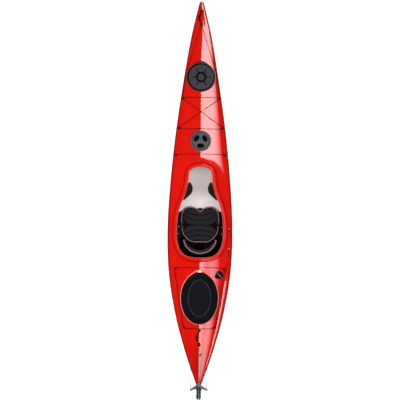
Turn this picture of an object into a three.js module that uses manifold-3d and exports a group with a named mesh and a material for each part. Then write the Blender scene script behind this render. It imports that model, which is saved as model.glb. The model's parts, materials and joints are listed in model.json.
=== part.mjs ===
// Sea kayak: a short touring boat with a peaked red deck, hatches, seat and stern rudder.
// Millimetres. +Y points to the bow, +X to starboard, +Z up. The keel rests on Z = 0.
import * as THREE from 'three';
import { mergeVertices } from 'three/addons/utils/BufferGeometryUtils.js';
import Module from 'manifold-3d';

const wasm = await Module();
wasm.setup();

// Overall boat
const OVERALL_LENGTH = 3800;
const RUDDER_REACH = 136.7;
const HALF_BEAM = 308;
const SHEER_HEIGHT = 240;
const CROWN_HEIGHT = 112;
const STEM_RISE = 250;
const SHELL_WALL = 4;
const CLEARANCE = 0.3;
const CUT_OVERRUN = 30;
const STATION_COUNT = 27;

// Seam strip round the sheer, whose front is the boat's foremost point
const STRIP_THICKNESS = 3;
const STRIP_HEIGHT = 14;
const BOW_Y = OVERALL_LENGTH / 2 - CLEARANCE - STRIP_THICKNESS;
const STERN_Y = RUDDER_REACH - OVERALL_LENGTH / 2;
const HULL_LENGTH = BOW_Y - STERN_Y;

// Places along the boat: share of the hull's length from the bow
const BOW_HATCH_PLACE_SHARE = 0.196366;
const FRONT_BULKHEAD_PLACE_SHARE = 0.277787;
const RAIL_FRONT_PLACE_SHARE = 0.299645;
const CARRIAGE_PLACE_SHARE = 0.343361;
const DAY_HATCH_PLACE_SHARE = 0.362486;
const RAIL_REAR_PLACE_SHARE = 0.414399;
const CABLE_FRONT_PLACE_SHARE = 0.45265;
const COCKPIT_FRONT_PLACE_SHARE = 0.429153;
const BRACE_FRONT_PLACE_SHARE = 0.46959;
const BRACE_REAR_PLACE_SHARE = 0.516858;
const SEAT_FRONT_PLACE_SHARE = 0.535164;
const TRACK_FRONT_PLACE_SHARE = 0.589809;
const KNOB_PLACE_SHARE = 0.595546;
const HANGER_PLACE_SHARE = 0.596093;
const SEAT_REAR_PLACE_SHARE = 0.626967;
const TRACK_REAR_PLACE_SHARE = 0.664672;
const COCKPIT_REAR_PLACE_SHARE = 0.666585;
const REAR_BULKHEAD_PLACE_SHARE = 0.685437;
const STERN_HATCH_PLACE_SHARE = 0.772596;
const CABLE_REAR_PLACE_SHARE = 0.938989;
const OUTLET_PLACE_SHARE = 0.958115;

function placeAt(share) {
  return BOW_Y - HULL_LENGTH * share;
}

// Hull form along its length: share of the length from the bow, share of the driving size
const BEAM_SHARES = [
  [0, 0.028], [0.003, 0.058], [0.0209, 0.11], [0.0733, 0.259], [0.1257, 0.381], [0.2304, 0.582],
  [0.3351, 0.757], [0.4398, 0.89], [0.5445, 0.98], [0.6178, 1], [0.6754, 0.979], [0.7277, 0.921],
  [0.7801, 0.8205], [0.8325, 0.691], [0.8848, 0.523], [0.9372, 0.328], [0.9738, 0.176], [1, 0.06],
];
const SHEER_SHARES = [
  [0, 1.35], [0.1, 1.21], [0.2, 1.115], [0.3, 1.045], [0.42, 1], [0.62, 0.95], [0.8, 0.985], [1, 1.09],
];
const CROWN_SHARES = [
  [0, 0.11], [0.05, 0.2], [0.1, 0.34], [0.2, 0.6], [0.3, 0.83], [0.4, 1], [0.48, 0.88], [0.6, 0.66],
  [0.68, 0.55], [0.8, 0.46], [0.9, 0.32], [1, 0.14],
];
const KEEL_SHARES = [
  [0, 1], [0.01, 0.72], [0.03, 0.42], [0.06, 0.24], [0.1, 0.13], [0.2, 0.03], [0.3, 0], [0.7, 0],
  [0.85, 0.05], [0.93, 0.14], [0.98, 0.3], [1, 0.42],
];
// Sections: share of the half beam, share of the height from keel to sheer or from sheer to ridge
const HULL_SECTION_SHARES = [[0.985, 0.55], [0.9, 0.27], [0.66, 0.09], [0.25, 0]];
const DECK_SECTION_SHARES = [[0.92, 0.15], [0.78, 0.35], [0.58, 0.56], [0.3, 0.78], [0, 1]];
const EDGE_SHARE = 1;
const SIDE_LIP = 9;
const VOID_START_SHARE = 0.03;
const VOID_END_SHARE = 0.975;

// Cockpit opening and coaming: shares of half width, and of length from the opening's rear edge
const SIDE_DECK_WIDTH = 87;
const COCKPIT_HALF_WIDTH = HALF_BEAM - SIDE_DECK_WIDTH;
const COCKPIT_REAR_Y = placeAt(COCKPIT_REAR_PLACE_SHARE);
const COCKPIT_LENGTH = placeAt(COCKPIT_FRONT_PLACE_SHARE) - COCKPIT_REAR_Y;
const COCKPIT_OUTLINE_SHARES = [
  [0, 1], [0.28, 0.983], [0.45, 0.951], [0.5, 0.895], [0.53, 0.82], [0.66, 0.686], [0.84, 0.575],
  [0.96, 0.443], [1, 0.277], [0.97, 0.178], [0.85, 0.085], [0.62, 0.024], [0.3, 0.002], [0, 0],
];
const COCKPIT_STEPS = 52;
const COAMING_WALL = 5;
const COAMING_RISE = 30;
const COAMING_DROP = 14;
const COAMING_LIP = 34;
const COAMING_LIP_THICKNESS = 6;
const COAMING_LIP_DROOP = 4;

// Hatches: place along the boat, sizes across, heights over the deck ridge
const HATCH_STEPS = 24;
const HATCH_RISE = 16;
const HATCH_STEP = 7;
const HATCH_COLLAR = 6;
const HATCH_COLLAR_DEPTH = 12;
const HATCH_FLANGE = 14;
const HATCH_POINT = 16;
const LID_SKIRT = 10;
const LID_WALL = 4;
const LID_CROWN = 5;
const BOW_HATCH_Y = placeAt(BOW_HATCH_PLACE_SHARE);
const BOW_ACROSS_SHARE = 0.428571;
const BOW_HATCH_RADIUS = HALF_BEAM * BOW_ACROSS_SHARE;
const DAY_HATCH_Y = placeAt(DAY_HATCH_PLACE_SHARE);
const DAY_HATCH_RADIUS = 92;
const STERN_HATCH_Y = placeAt(STERN_HATCH_PLACE_SHARE);
const STERN_HATCH_INSET = 130;
const STERN_HATCH_HALF_WIDTH = HALF_BEAM - STERN_HATCH_INSET;
const STERN_HATCH_HALF_LENGTH = 248;
const LID_RING_SHARE = 0.36;
const LID_CORE_SHARE = 0.06;
const LID_DISH = 5;
const STERN_OVAL_SHARE = 0.62;
const DAY_RECESS_RADIUS = 22;
const DAY_RECESS_DEPTH = 7;
const DAY_RECESS_SHARE = 0.6;
const DAY_RECESS_COUNT = 3;
const POD_DEPTH = 105;
const POD_WALL = 3;

// Bulkheads
const BULKHEAD_THICKNESS = 12;
const FRONT_BULKHEAD_Y = placeAt(FRONT_BULKHEAD_PLACE_SHARE);
const REAR_BULKHEAD_Y = placeAt(REAR_BULKHEAD_PLACE_SHARE);

// Seat: places along the boat and heights over the keel
const SEAT_FRONT_Y = placeAt(SEAT_FRONT_PLACE_SHARE);
const SEAT_REAR_Y = placeAt(SEAT_REAR_PLACE_SHARE);
const SEAT_INSET = 39;
const SEAT_HALF_WIDTH = COCKPIT_HALF_WIDTH - SEAT_INSET;
const SEAT_OUTLINE_SHARES = [
  [0, 0.88], [0.3, 0.97], [0.58, 1], [0.84, 0.93], [0.98, 0.78], [1, 0.6], [0.96, 0.36], [0.88, 0.22],
  [0.66, 0.08], [0.44, 0.01], [0, 0],
];
const SEAT_OUTLINE_STEPS = 40;
const SEAT_CENTRE_SHARE = 0.5;
const PAN_BOTTOM = 27;
const PAN_WALL = 5;
const PAN_DEPTH = 26;
const PAN_MARGIN = 8;
const HANGER_LENGTH = 150;
const HANGER_Y = placeAt(HANGER_PLACE_SHARE);
const HANGER_THICKNESS = 5;
const HANGER_OVERLAP = 18;
const CUSHION_THICKNESS = 34;
const CUSHION_CROWN = 9;
const CUSHION_CHANNEL = 4;
const CUSHION_CHANNEL_PITCH = 62;
const CUSHION_RING_SHARES = [0.95, 0.86, 0.72, 0.58, 0.44, 0.3, 0.15];

// Back rest
const BACK_INSET = 52;
const BACK_RADIUS = SEAT_HALF_WIDTH - BACK_INSET;
const BACK_SETBACK = 58;
const BACK_CENTRE_Y = SEAT_REAR_Y + BACK_SETBACK;
const BACK_SWEEP_DEG = 75;
const BACK_BOTTOM = 92;
const BACK_HEIGHT = 150;
const BACK_LEAN = 24;
const BACK_PAD_THICKNESS = 24;
const BACK_FRAME_THICKNESS = 4;
const BACK_ACROSS_STEPS = 12;
const BACK_UP_STEPS = 6;
const BACK_ROUND_SHARE = 1 / 3;
const BACK_THIN_SHARE = 1 / 3;
const BACK_EDGE_SHARE = 0.1;
const BACK_CHANNELS = 3;
const BACK_HINGE_X = 62;
const BACK_HINGE_HEIGHT = 64;
const BACK_LUG_WIDTH = 14;
const BACK_LUG_RADIUS = 8;
const BACK_PIN_RADIUS = 4;
const BACK_EAR_THICKNESS = 5;
const BACK_BORE_OVERRUN = 2;

// Hip pads and thigh braces
const HIP_PAD_BOTTOM = 92;
const HIP_PAD_HEIGHT = 100;
const HIP_PAD_THICKNESS = 16;
const HIP_PAD_LENGTH = 140;
const BRACE_FRONT_Y = placeAt(BRACE_FRONT_PLACE_SHARE);
const BRACE_REAR_Y = placeAt(BRACE_REAR_PLACE_SHARE);
const BRACE_REACH = 46;
const BRACE_THICKNESS = 14;
const BRACE_FALL = 22;
const BRACE_STEPS = 8;
const BRACE_NOSE = 2;
const BRACE_TIP_SHARE = 0.08;

// Foot rests
const RAIL_FRONT_Y = placeAt(RAIL_FRONT_PLACE_SHARE);
const RAIL_REAR_Y = placeAt(RAIL_REAR_PLACE_SHARE);
const RAIL_Z = 118;
const RAIL_HEIGHT = 26;
const RAIL_THICKNESS = 9;
const RAIL_STANDOFF = 7;
const RAIL_BOSS_LENGTH = 30;
const CARRIAGE_LENGTH = 60;
const CARRIAGE_WALL = 5;
const CARRIAGE_THICKNESS = 38;
const CARRIAGE_Y = placeAt(CARRIAGE_PLACE_SHARE);
const PEDAL_WIDTH = 60;
const PEDAL_HEIGHT = 130;
const PEDAL_THICKNESS = 9;
const PEDAL_DROP = 34;
const PEDAL_PIN_RADIUS = 5;
const PEDAL_PIN_LENGTH = 12;

// Deck fittings, cords and handles
const FITTING_RADIUS = 12;
const FITTING_BASE = 4;
const POST_RADIUS = 5;
const POST_HEIGHT = 15;
const POST_CAP_RADIUS = 9;
const POST_CAP = 3;
const FITTING_STEPS = 10;
const CORD_RADIUS = 3;
const CORD_SIDES = 8;
const THIN_CORD_RADIUS = 2;
const CORD_LIFT = 2.6;
const FRONT_FITTING_SHARE = 0.251284;
const FITTING_LEAD = 32;
const FITTING_TRAIL = 42;
const FRONT_FITTING_Y = [
  placeAt(FRONT_FITTING_SHARE),
  DAY_HATCH_Y + DAY_HATCH_RADIUS + FITTING_LEAD,
  DAY_HATCH_Y - DAY_HATCH_RADIUS - FITTING_TRAIL,
];
const FRONT_FITTING_INSETS = [18, 22, 26];
const AFT_FITTING_TRAIL = 33;
const AFT_FITTING_Y = [
  STERN_HATCH_Y + STERN_HATCH_HALF_LENGTH + FITTING_LEAD,
  STERN_HATCH_Y - STERN_HATCH_HALF_LENGTH - AFT_FITTING_TRAIL,
];
const AFT_FITTING_SPREADS = [54, -34];
const AFT_LINE_SPREAD = 24;
const SIDE_RUN_STEPS = 6;
const RUN_END_SHARE = 0.04;
const HANDLE_FITTING_RADIUS = 13;
const HANDLE_POST_HEIGHT = 17;
const HANDLE_AXIS_LIFT = 12;
const HANDLE_CORD_RADIUS = 4;
const HANDLE_GRIP_RADIUS = 8;
const HANDLE_BOW = 24;
const HANDLE_STEPS = 10;
const HANDLE_GRIP_SHARE = 0.25;
const BOW_HANDLE_SHARES = [0.024781, 0.060301];
const BOW_HANDLE_Y = BOW_HANDLE_SHARES.map(placeAt);
const STERN_HANDLE_TRAIL = 29;
const STERN_HANDLE_SPAN = 134;
const STERN_HANDLE_FRONT_Y = AFT_FITTING_Y[1] - STERN_HANDLE_TRAIL;
const STERN_HANDLE_Y = [STERN_HANDLE_FRONT_Y, STERN_HANDLE_FRONT_Y - STERN_HANDLE_SPAN];

// Security bar and rudder lift control on the starboard deck
const SECURITY_INSET = 121;
const SECURITY_X = HALF_BEAM - SECURITY_INSET;
const SECURITY_TRAIL = 53;
const SECURITY_Y = AFT_FITTING_Y[0] - SECURITY_TRAIL;
const SECURITY_RADIUS = 36;
const SECURITY_PLATE = 5;
const SECURITY_BAR_RADIUS = 4;
const SECURITY_BAR_RISE = 20;
const SECURITY_BAR_REACH = 20;
const SECURITY_CORNERS = 3;
const SECURITY_SIDE_SHARE = 0.82;
const SECURITY_BEND_SHARE = 0.6;
const TRACK_INSET = 29;
const TRACK_X = HALF_BEAM - TRACK_INSET;
const TRACK_FRONT_Y = placeAt(TRACK_FRONT_PLACE_SHARE);
const TRACK_REAR_Y = placeAt(TRACK_REAR_PLACE_SHARE);
const TRACK_WIDTH = 15;
const TRACK_HEIGHT = 7;
const TRACK_SLOT = 5;
const KNOB_RADIUS = 9;
const KNOB_STEM_RADIUS = 2;
const KNOB_HEIGHT = 14;
const KNOB_TRAVEL = 160;
const KNOB_STEM_LIFT = 3;
const KNOB_Y = placeAt(KNOB_PLACE_SHARE);
const KNOB_WAIST_SHARE = 0.7;
const LIFT_LINE_SHARES = [0.0577, 0.1391, 0.2426, 0.3905, 0.568, 0.7456, 0.8639, 0.9527];
const LIFT_LINE_SPREADS = [90, 80, 68, 56, 40, 18, -2, -14];

// Rudder
const PIN_REACH = 28.7;
const PIN_Y = STERN_Y - PIN_REACH;
const PIN_RADIUS = 5;
const BRACKET_WIDTH = 26;
const BRACKET_DROP = 4;
const BRACKET_HEIGHT = 100;
const BRACKET_LUG = 14;
const BRACKET_PLATE = 8;
const HEAD_WIDTH = 46;
const HEAD_CHEEK = 8;
const PIVOT_REACH = 94.7;
const PIVOT_Y = STERN_Y - PIVOT_REACH;
const PIVOT_RADIUS = 5;
const PIVOT_LIFT = 90;
const HEAD_REAR_Y = STERN_Y - RUDDER_REACH;
const BLADE_LENGTH = 464;
const BLADE_THICKNESS = 5;
const BLADE_CHORD = 104;
const BLADE_OUTLINE_SHARES = [
  [-0.047, 0], [-0.03, 0.19], [0.12, 0.25], [0.32, 0.4], [0.7, 0.385], [0.9, 0.27], [0.98, 0.05],
  [1, -0.19], [0.98, -0.43], [0.86, -0.58], [0.4, -0.6], [0.24, -0.48], [0.11, -0.25], [-0.03, -0.19],
];
const YOKE_THICKNESS = 6;
const YOKE_HALF_SPAN = 84;
const YOKE_SWEEP = 54;
const YOKE_ARM = 16;
const YOKE_SETBACK = 17.3;
const YOKE_APEX_Y = STERN_Y + YOKE_SETBACK;
const YOKE_LIFT = 5;
const YOKE_CABLE_SHARE = 0.9;
const WEB_REACH = 8;
const BLADE_UNDER_SHARE = 0.6;
const SLEEVE_RADIUS = 12;
const REST_SHARE = 0.825431;
const REST_Y = PIVOT_Y + BLADE_LENGTH * REST_SHARE;
const REST_OFFSET = 10;
const REST_LENGTH = 36;
const REST_WIDTH = 9;
const REST_ANGLE_DEG = 34;
const OUTLET_Y = placeAt(OUTLET_PLACE_SHARE);
const OUTLET_DROP = 30;
const OUTLET_LENGTH = 34;
const OUTLET_RADIUS = 7;
const CABLE_RADIUS = 1.5;
const CABLE_INSET = 22;
const CABLE_STEPS = 14;
const CABLE_RUN_FRONT_Y = placeAt(CABLE_FRONT_PLACE_SHARE);
const CABLE_RUN_REAR_Y = placeAt(CABLE_REAR_PLACE_SHARE);

// Finishes
function finish(color, roughness, metalness) {
  return new THREE.MeshStandardMaterial({ color, roughness, metalness });
}
const DECK_RED = finish(0xe0180a, 0.18, 0);
const HULL_PALE = finish(0xd2cecb, 0.35, 0);
const SEAM_BLACK = finish(0x2a0d10, 0.5, 0);
const LID_GREY = finish(0x48484c, 0.6, 0);
const LID_BLACK = finish(0x1a1c20, 0.6, 0);
const DAY_GREY = finish(0x58545c, 0.45, 0);
const PLASTIC_BLACK = finish(0x1e1e20, 0.5, 0);
const FOAM_BLACK = finish(0x1b1b1d, 0.9, 0);
const FABRIC_BLACK = finish(0x1e1e20, 0.85, 0);
const FOAM_GREY = finish(0x8c8c90, 0.9, 0);
const CORD_DARK = finish(0x30181a, 0.8, 0);
const STEEL = finish(0xb0b0b4, 0.3, 0.9);
const ALUMINIUM = finish(0x9a9ca0, 0.35, 0.8);

const model = new THREE.Group();

function addPiece(name, geometry, material) {
  const mesh = new THREE.Mesh(geometry, material);
  mesh.name = name;
  model.add(mesh);
  return mesh;
}

// Solids: closed meshes to and from the boolean library
function solidOf(geometry) {
  const bare = geometry.clone();
  bare.deleteAttribute('normal');
  bare.deleteAttribute('uv');
  const welded = mergeVertices(bare);
  const vertProperties = new Float32Array(welded.attributes.position.array);
  const triVerts = new Uint32Array(welded.index.array);
  return new wasm.Manifold(new wasm.Mesh({ numProp: 3, vertProperties, triVerts }));
}

function geometryOf(solid) {
  const mesh = solid.getMesh();
  const geometry = new THREE.BufferGeometry();
  geometry.setAttribute('position', new THREE.BufferAttribute(mesh.vertProperties, mesh.numProp));
  geometry.setIndex(new THREE.BufferAttribute(mesh.triVerts, 1));
  return geometry;
}

function meshFrom(points, faces) {
  const geometry = new THREE.BufferGeometry();
  const numbers = points.flatMap((p) => [p.x, p.y, p.z]);
  geometry.setAttribute('position', new THREE.Float32BufferAttribute(numbers, 3));
  geometry.setIndex(faces.flat());
  return geometry;
}

function point(x, y, z) {
  return new THREE.Vector3(x, y, z);
}

// Turns every face over where a closed mesh encloses a negative volume
function facingOut(points, faces) {
  const volume = faces.reduce((sum, [a, b, c]) => {
    const cross = new THREE.Vector3().crossVectors(points[b], points[c]);
    return sum + points[a].dot(cross);
  }, 0);
  return volume < 0 ? faces.map(([a, b, c]) => [a, c, b]) : faces;
}

// A closed body through rings of points, each ring closed on itself, with flat ends
function loft(rings) {
  const count = rings[0].length;
  const points = rings.flat();
  const faces = [];
  for (let r = 0; r + 1 < rings.length; r += 1) {
    for (let i = 0; i < count; i += 1) {
      const next = (i + 1) % count;
      const a = r * count + i;
      const b = r * count + next;
      const c = a + count;
      const d = b + count;
      faces.push([a, b, d], [a, d, c]);
    }
  }
  const caps = [[rings[0], 0, true], [rings.at(-1), (rings.length - 1) * count, false]];
  for (const [ring, first, reverse] of caps) {
    const centre = ring.reduce((sum, p) => sum.add(p), point(0, 0, 0)).divideScalar(count);
    points.push(centre);
    for (let i = 0; i < count; i += 1) {
      const face = [first + i, first + ((i + 1) % count), points.length - 1];
      faces.push(reverse ? [face[1], face[0], face[2]] : face);
    }
  }
  return meshFrom(points, facingOut(points, faces));
}

// A closed ring: one section carried round a closed path, section points the same at each step
function ringOf(sections) {
  const count = sections[0].length;
  const points = sections.flat();
  const faces = [];
  for (let s = 0; s < sections.length; s += 1) {
    const after = (s + 1) % sections.length;
    for (let i = 0; i < count; i += 1) {
      const next = (i + 1) % count;
      const a = s * count + i;
      const b = s * count + next;
      const c = after * count + i;
      const d = after * count + next;
      faces.push([a, b, d], [a, d, c]);
    }
  }
  return meshFrom(points, facingOut(points, faces));
}

// A smooth value from a table of [share, value] rows, by a cubic between neighbours
function shareAt(shareTable, at) {
  const last = shareTable.length - 1;
  let i = 0;
  while (i < last - 1 && at > shareTable[i + 1][0]) {
    i += 1;
  }
  const slope = (k) => {
    const low = shareTable[Math.max(k - 1, 0)];
    const high = shareTable[Math.min(k + 1, last)];
    return (high[1] - low[1]) / (high[0] - low[0]);
  };
  const [x0, y0] = shareTable[i];
  const [x1, y1] = shareTable[i + 1];
  const span = x1 - x0;
  const t = THREE.MathUtils.clamp((at - x0) / span, 0, 1);
  const m0 = y0 === y1 ? 0 : slope(i) * span;
  const m1 = y0 === y1 ? 0 : slope(i + 1) * span;
  const t2 = t * t;
  const t3 = t2 * t;
  return (2 * t3 - 3 * t2 + 1) * y0 + (t3 - 2 * t2 + t) * m0 + (3 * t2 - 2 * t3) * y1 + (t3 - t2) * m1;
}

// Stations close up towards both ends
const stationShares = Array.from({ length: STATION_COUNT }, (_, i) => (
  (1 - Math.cos((Math.PI * i) / (STATION_COUNT - 1))) / 2
));

function formAt(share) {
  return {
    y: BOW_Y - HULL_LENGTH * share,
    halfBeam: HALF_BEAM * shareAt(BEAM_SHARES, share),
    sheer: SHEER_HEIGHT * shareAt(SHEER_SHARES, share),
    crown: CROWN_HEIGHT * shareAt(CROWN_SHARES, share),
    keel: STEM_RISE * Math.max(0, shareAt(KEEL_SHARES, share)),
  };
}
const stations = stationShares.map(formAt);

// The form between two stations, straight as the shells are
function formNear(y) {
  const share = THREE.MathUtils.clamp((BOW_Y - y) / HULL_LENGTH, 0, 1);
  let i = 0;
  while (i < STATION_COUNT - 2 && share > stationShares[i + 1]) {
    i += 1;
  }
  const t = (share - stationShares[i]) / (stationShares[i + 1] - stationShares[i]);
  const mix = (key) => THREE.MathUtils.lerp(stations[i][key], stations[i + 1][key], t);
  return { y, halfBeam: mix('halfBeam'), sheer: mix('sheer'), crown: mix('crown'), keel: mix('keel') };
}

function mirrored(half) {
  const port = half.filter((p) => p.x > 0).map((p) => point(-p.x, p.y, p.z)).reverse();
  return [...half, ...port];
}

function hullHalf(form) {
  const depth = form.sheer - form.keel;
  const lip = Math.min(SIDE_LIP, depth / 2);
  return [
    point(form.halfBeam, form.y, form.sheer),
    point(form.halfBeam, form.y, form.sheer - lip),
    ...HULL_SECTION_SHARES.map(([across, up]) => (
      point(form.halfBeam * across, form.y, form.keel + (depth - lip) * up)
    )),
  ];
}

function deckLip(form) {
  return Math.min(SIDE_LIP, form.crown / 2);
}

function deckHalf(form) {
  const lip = deckLip(form);
  return [
    point(form.halfBeam, form.y, form.sheer),
    point(form.halfBeam, form.y, form.sheer + lip),
    ...DECK_SECTION_SHARES.map(([across, up]) => (
      point(form.halfBeam * across, form.y, form.sheer + lip + (form.crown - lip) * up)
    )),
  ];
}

// Height of the deck over a place in plan
function deckTop(x, y) {
  const form = formNear(y);
  const lip = deckLip(form);
  const across = Math.min(Math.abs(x) / form.halfBeam, 1);
  const rows = [[EDGE_SHARE, 0], ...DECK_SECTION_SHARES];
  let i = 0;
  while (i < rows.length - 2 && across < rows[i + 1][0]) {
    i += 1;
  }
  const t = (rows[i][0] - across) / (rows[i][0] - rows[i + 1][0]);
  const up = THREE.MathUtils.lerp(rows[i][1], rows[i + 1][1], t);
  return form.sheer + lip + (form.crown - lip) * up;
}

// A closed section drawn in by a distance, each corner along its mitre
function drawnIn(section, distance) {
  return section.map((p, i) => {
    const before = section[(i + section.length - 1) % section.length];
    const after = section[(i + 1) % section.length];
    const d1 = new THREE.Vector2(p.x - before.x, p.z - before.z).normalize();
    const d2 = new THREE.Vector2(after.x - p.x, after.z - p.z).normalize();
    const n1 = new THREE.Vector2(d1.y, -d1.x);
    const n2 = new THREE.Vector2(d2.y, -d2.x);
    const mitre = n1.add(n2).normalize();
    const reach = distance / Math.max(mitre.dot(n2), 1 / 2);
    return point(p.x + mitre.x * reach, p.y, p.z + mitre.y * reach);
  });
}

// Sections run from starboard sheer; a clockwise one is drawn in by a negative distance
const hullSections = stations.map((form) => mirrored(hullHalf(form)));
const deckSections = stations.map((form) => mirrored(deckHalf(form)));
const inside = stationShares.map((share) => share > VOID_START_SHARE && share < VOID_END_SHARE);

function turnOf(section) {
  const area = section.reduce((sum, p, i) => {
    const q = section[(i + 1) % section.length];
    return sum + p.x * q.z - q.x * p.z;
  }, 0);
  return Math.sign(area);
}

function insetSection(section, distance) {
  return drawnIn(section, -distance * turnOf(section));
}

function hollowSection(section, wall, edgeShift) {
  const hollow = insetSection(section, wall);
  const edge = section[0].z + edgeShift;
  hollow[0].setZ(edge);
  hollow[hollow.length - 1].setZ(edge);
  return hollow;
}

function bodySection(form) {
  const deck = deckHalf(form).slice(1).reverse();
  return mirrored([...deck, ...hullHalf(form)].filter((p, i, all) => i === 0 || !p.equals(all[i - 1])));
}

// The whole space in the boat, a wall and a clearance in from its skin
function insideOf(distance) {
  const forms = stations.filter((_, i) => inside[i]);
  return solidOf(loft(forms.map((form) => insetSection(bodySection(form), distance))));
}

const hullBody = solidOf(loft(hullSections));
const hullHollow = solidOf(loft(hullSections.filter((_, i) => inside[i]).map((section) => (
  hollowSection(section, SHELL_WALL, CUT_OVERRUN)
))));
const deckBody = solidOf(loft(deckSections)).translate(0, 0, CLEARANCE);
const deckHollow = solidOf(loft(deckSections.filter((_, i) => inside[i]).map((section) => (
  hollowSection(section, SHELL_WALL, -CUT_OVERRUN)
)))).translate(0, 0, CLEARANCE);
const overDeck = solidOf(loft(deckSections.map((section) => (
  section.map((p, i) => point(p.x, p.y, i === 0 || i === section.length - 1 ? p.z - CUT_OVERRUN : p.z))
)))).translate(0, 0, CLEARANCE + CLEARANCE);
const innerSpace = insideOf(SHELL_WALL + CLEARANCE);

// Plan outlines
function smoothOutline(corners, steps) {
  const curve = new THREE.CatmullRomCurve3(corners, true, 'centripetal');
  return Array.from({ length: steps }, (_, i) => curve.getPointAt(i / steps));
}

// Starboard shares of half width and of length from the rear, turned into a closed outline
function outlineFrom(shareRows, halfWidth, length, rearY, steps) {
  const half = shareRows.map(([across, along]) => point(across * halfWidth, rearY + along * length, 0));
  return smoothOutline(mirrored(half), steps);
}

function outwardAt(outline, i) {
  const before = outline[(i + outline.length - 1) % outline.length];
  const after = outline[(i + 1) % outline.length];
  const along = new THREE.Vector2(after.x - before.x, after.y - before.y).normalize();
  const area = outline.reduce((sum, p, k) => {
    const q = outline[(k + 1) % outline.length];
    return sum + p.x * q.y - q.x * p.y;
  }, 0);
  return new THREE.Vector2(along.y, -along.x).multiplyScalar(Math.sign(area));
}

function movedOut(outline, distance) {
  return outline.map((p, i) => {
    const outward = outwardAt(outline, i);
    return point(p.x + outward.x * distance, p.y + outward.y * distance, p.z);
  });
}

function prism(outline, low, high) {
  const shape = new THREE.Shape(outline.map((p) => new THREE.Vector2(p.x, p.y)));
  const geometry = new THREE.ExtrudeGeometry(shape, { depth: high - low, bevelEnabled: false, steps: 1 });
  return solidOf(geometry.translate(0, 0, low));
}

function box(sizeX, sizeY, sizeZ, x, y, z) {
  return solidOf(new THREE.BoxGeometry(sizeX, sizeY, sizeZ).translate(x, y, z));
}

// A turned body on an upright axis from [radius, height] rows that start and end on the axis
function turned(profile, steps) {
  const points = profile.map(([r, z]) => new THREE.Vector2(r, z));
  return new THREE.LatheGeometry(points, steps).rotateX(Math.PI / 2);
}

function rod(radius, length, steps) {
  return new THREE.CylinderGeometry(radius, radius, length, steps);
}

// A tube through chosen points, its radius worked out at each one
function tube(path, radiusAt, sides) {
  const rings = path.map((p, i) => {
    const before = path[Math.max(i - 1, 0)];
    const after = path[Math.min(i + 1, path.length - 1)];
    const along = new THREE.Vector3().subVectors(after, before).normalize();
    const across = new THREE.Vector3(0, 0, 1).cross(along).normalize();
    const up = new THREE.Vector3().crossVectors(along, across);
    return Array.from({ length: sides }, (_, k) => {
      const angle = (2 * Math.PI * k) / sides;
      const out = across.clone().multiplyScalar(Math.cos(angle)).addScaledVector(up, Math.sin(angle));
      return p.clone().addScaledVector(out, radiusAt(i));
    });
  });
  return loft(rings);
}

const cockpitOutline = outlineFrom(
  COCKPIT_OUTLINE_SHARES, COCKPIT_HALF_WIDTH, COCKPIT_LENGTH, COCKPIT_REAR_Y, COCKPIT_STEPS,
);
const ceiling = SHEER_HEIGHT * 2;

// Deck and hull shells
const bowRidge = deckTop(0, BOW_HATCH_Y);
const dayRidge = deckTop(0, DAY_HATCH_Y);
const sternRidge = Math.max(
  deckTop(0, STERN_HATCH_Y + STERN_HATCH_HALF_LENGTH),
  deckTop(0, STERN_HATCH_Y - STERN_HATCH_HALF_LENGTH),
);
const hatches = [
  {
    name: 'bow_hatch', y: BOW_HATCH_Y, halfWidth: BOW_HATCH_RADIUS, halfLength: BOW_HATCH_RADIUS,
    top: bowRidge + HATCH_RISE, pointed: true,
  },
  {
    name: 'day_hatch', y: DAY_HATCH_Y, halfWidth: DAY_HATCH_RADIUS, halfLength: DAY_HATCH_RADIUS,
    top: dayRidge + HATCH_RISE, pointed: false,
  },
  {
    name: 'stern_hatch', y: STERN_HATCH_Y, halfWidth: STERN_HATCH_HALF_WIDTH,
    halfLength: STERN_HATCH_HALF_LENGTH, top: sternRidge + HATCH_RISE, pointed: true,
  },
];

function ovalOutline(hatch, margin) {
  return Array.from({ length: HATCH_STEPS }, (_, i) => {
    const angle = (2 * Math.PI * i) / HATCH_STEPS;
    const x = (hatch.halfWidth + margin) * Math.sin(angle);
    return point(x, hatch.y + (hatch.halfLength + margin) * Math.cos(angle), 0);
  });
}

function addShells() {
  let hull = hullBody.subtract(hullHollow);
  for (const side of [-1, 1]) {
    hull = hull.subtract(solidOf(tube(cableEnd(side), () => CABLE_RADIUS + CLEARANCE, CORD_SIDES)));
  }
  addPiece('hull', geometryOf(hull), HULL_PALE);
  let deck = deckBody.subtract(deckHollow);
  deck = deck.subtract(prism(movedOut(cockpitOutline, COAMING_WALL + CLEARANCE), 0, ceiling));
  for (const hatch of hatches) {
    deck = deck.subtract(prism(ovalOutline(hatch, -HATCH_FLANGE + HATCH_COLLAR + CLEARANCE), 0, ceiling));
  }
  addPiece('deck', geometryOf(deck), DECK_RED);
}

function stripBody(margin, halfHeight) {
  const rings = stations.map((form, i) => {
    const wide = form.halfBeam + margin;
    let y = form.y;
    y += i === 0 ? margin : 0;
    y -= i === STATION_COUNT - 1 ? margin : 0;
    return [
      point(wide, y, form.sheer - halfHeight), point(wide, y, form.sheer + halfHeight),
      point(-wide, y, form.sheer + halfHeight), point(-wide, y, form.sheer - halfHeight),
    ];
  });
  return solidOf(loft(rings));
}

function addSeamStrip() {
  const outer = stripBody(CLEARANCE + STRIP_THICKNESS, STRIP_HEIGHT / 2);
  const strip = outer.subtract(stripBody(CLEARANCE, STRIP_HEIGHT));
  addPiece('seam_strip', geometryOf(strip), SEAM_BLACK);
}

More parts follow.
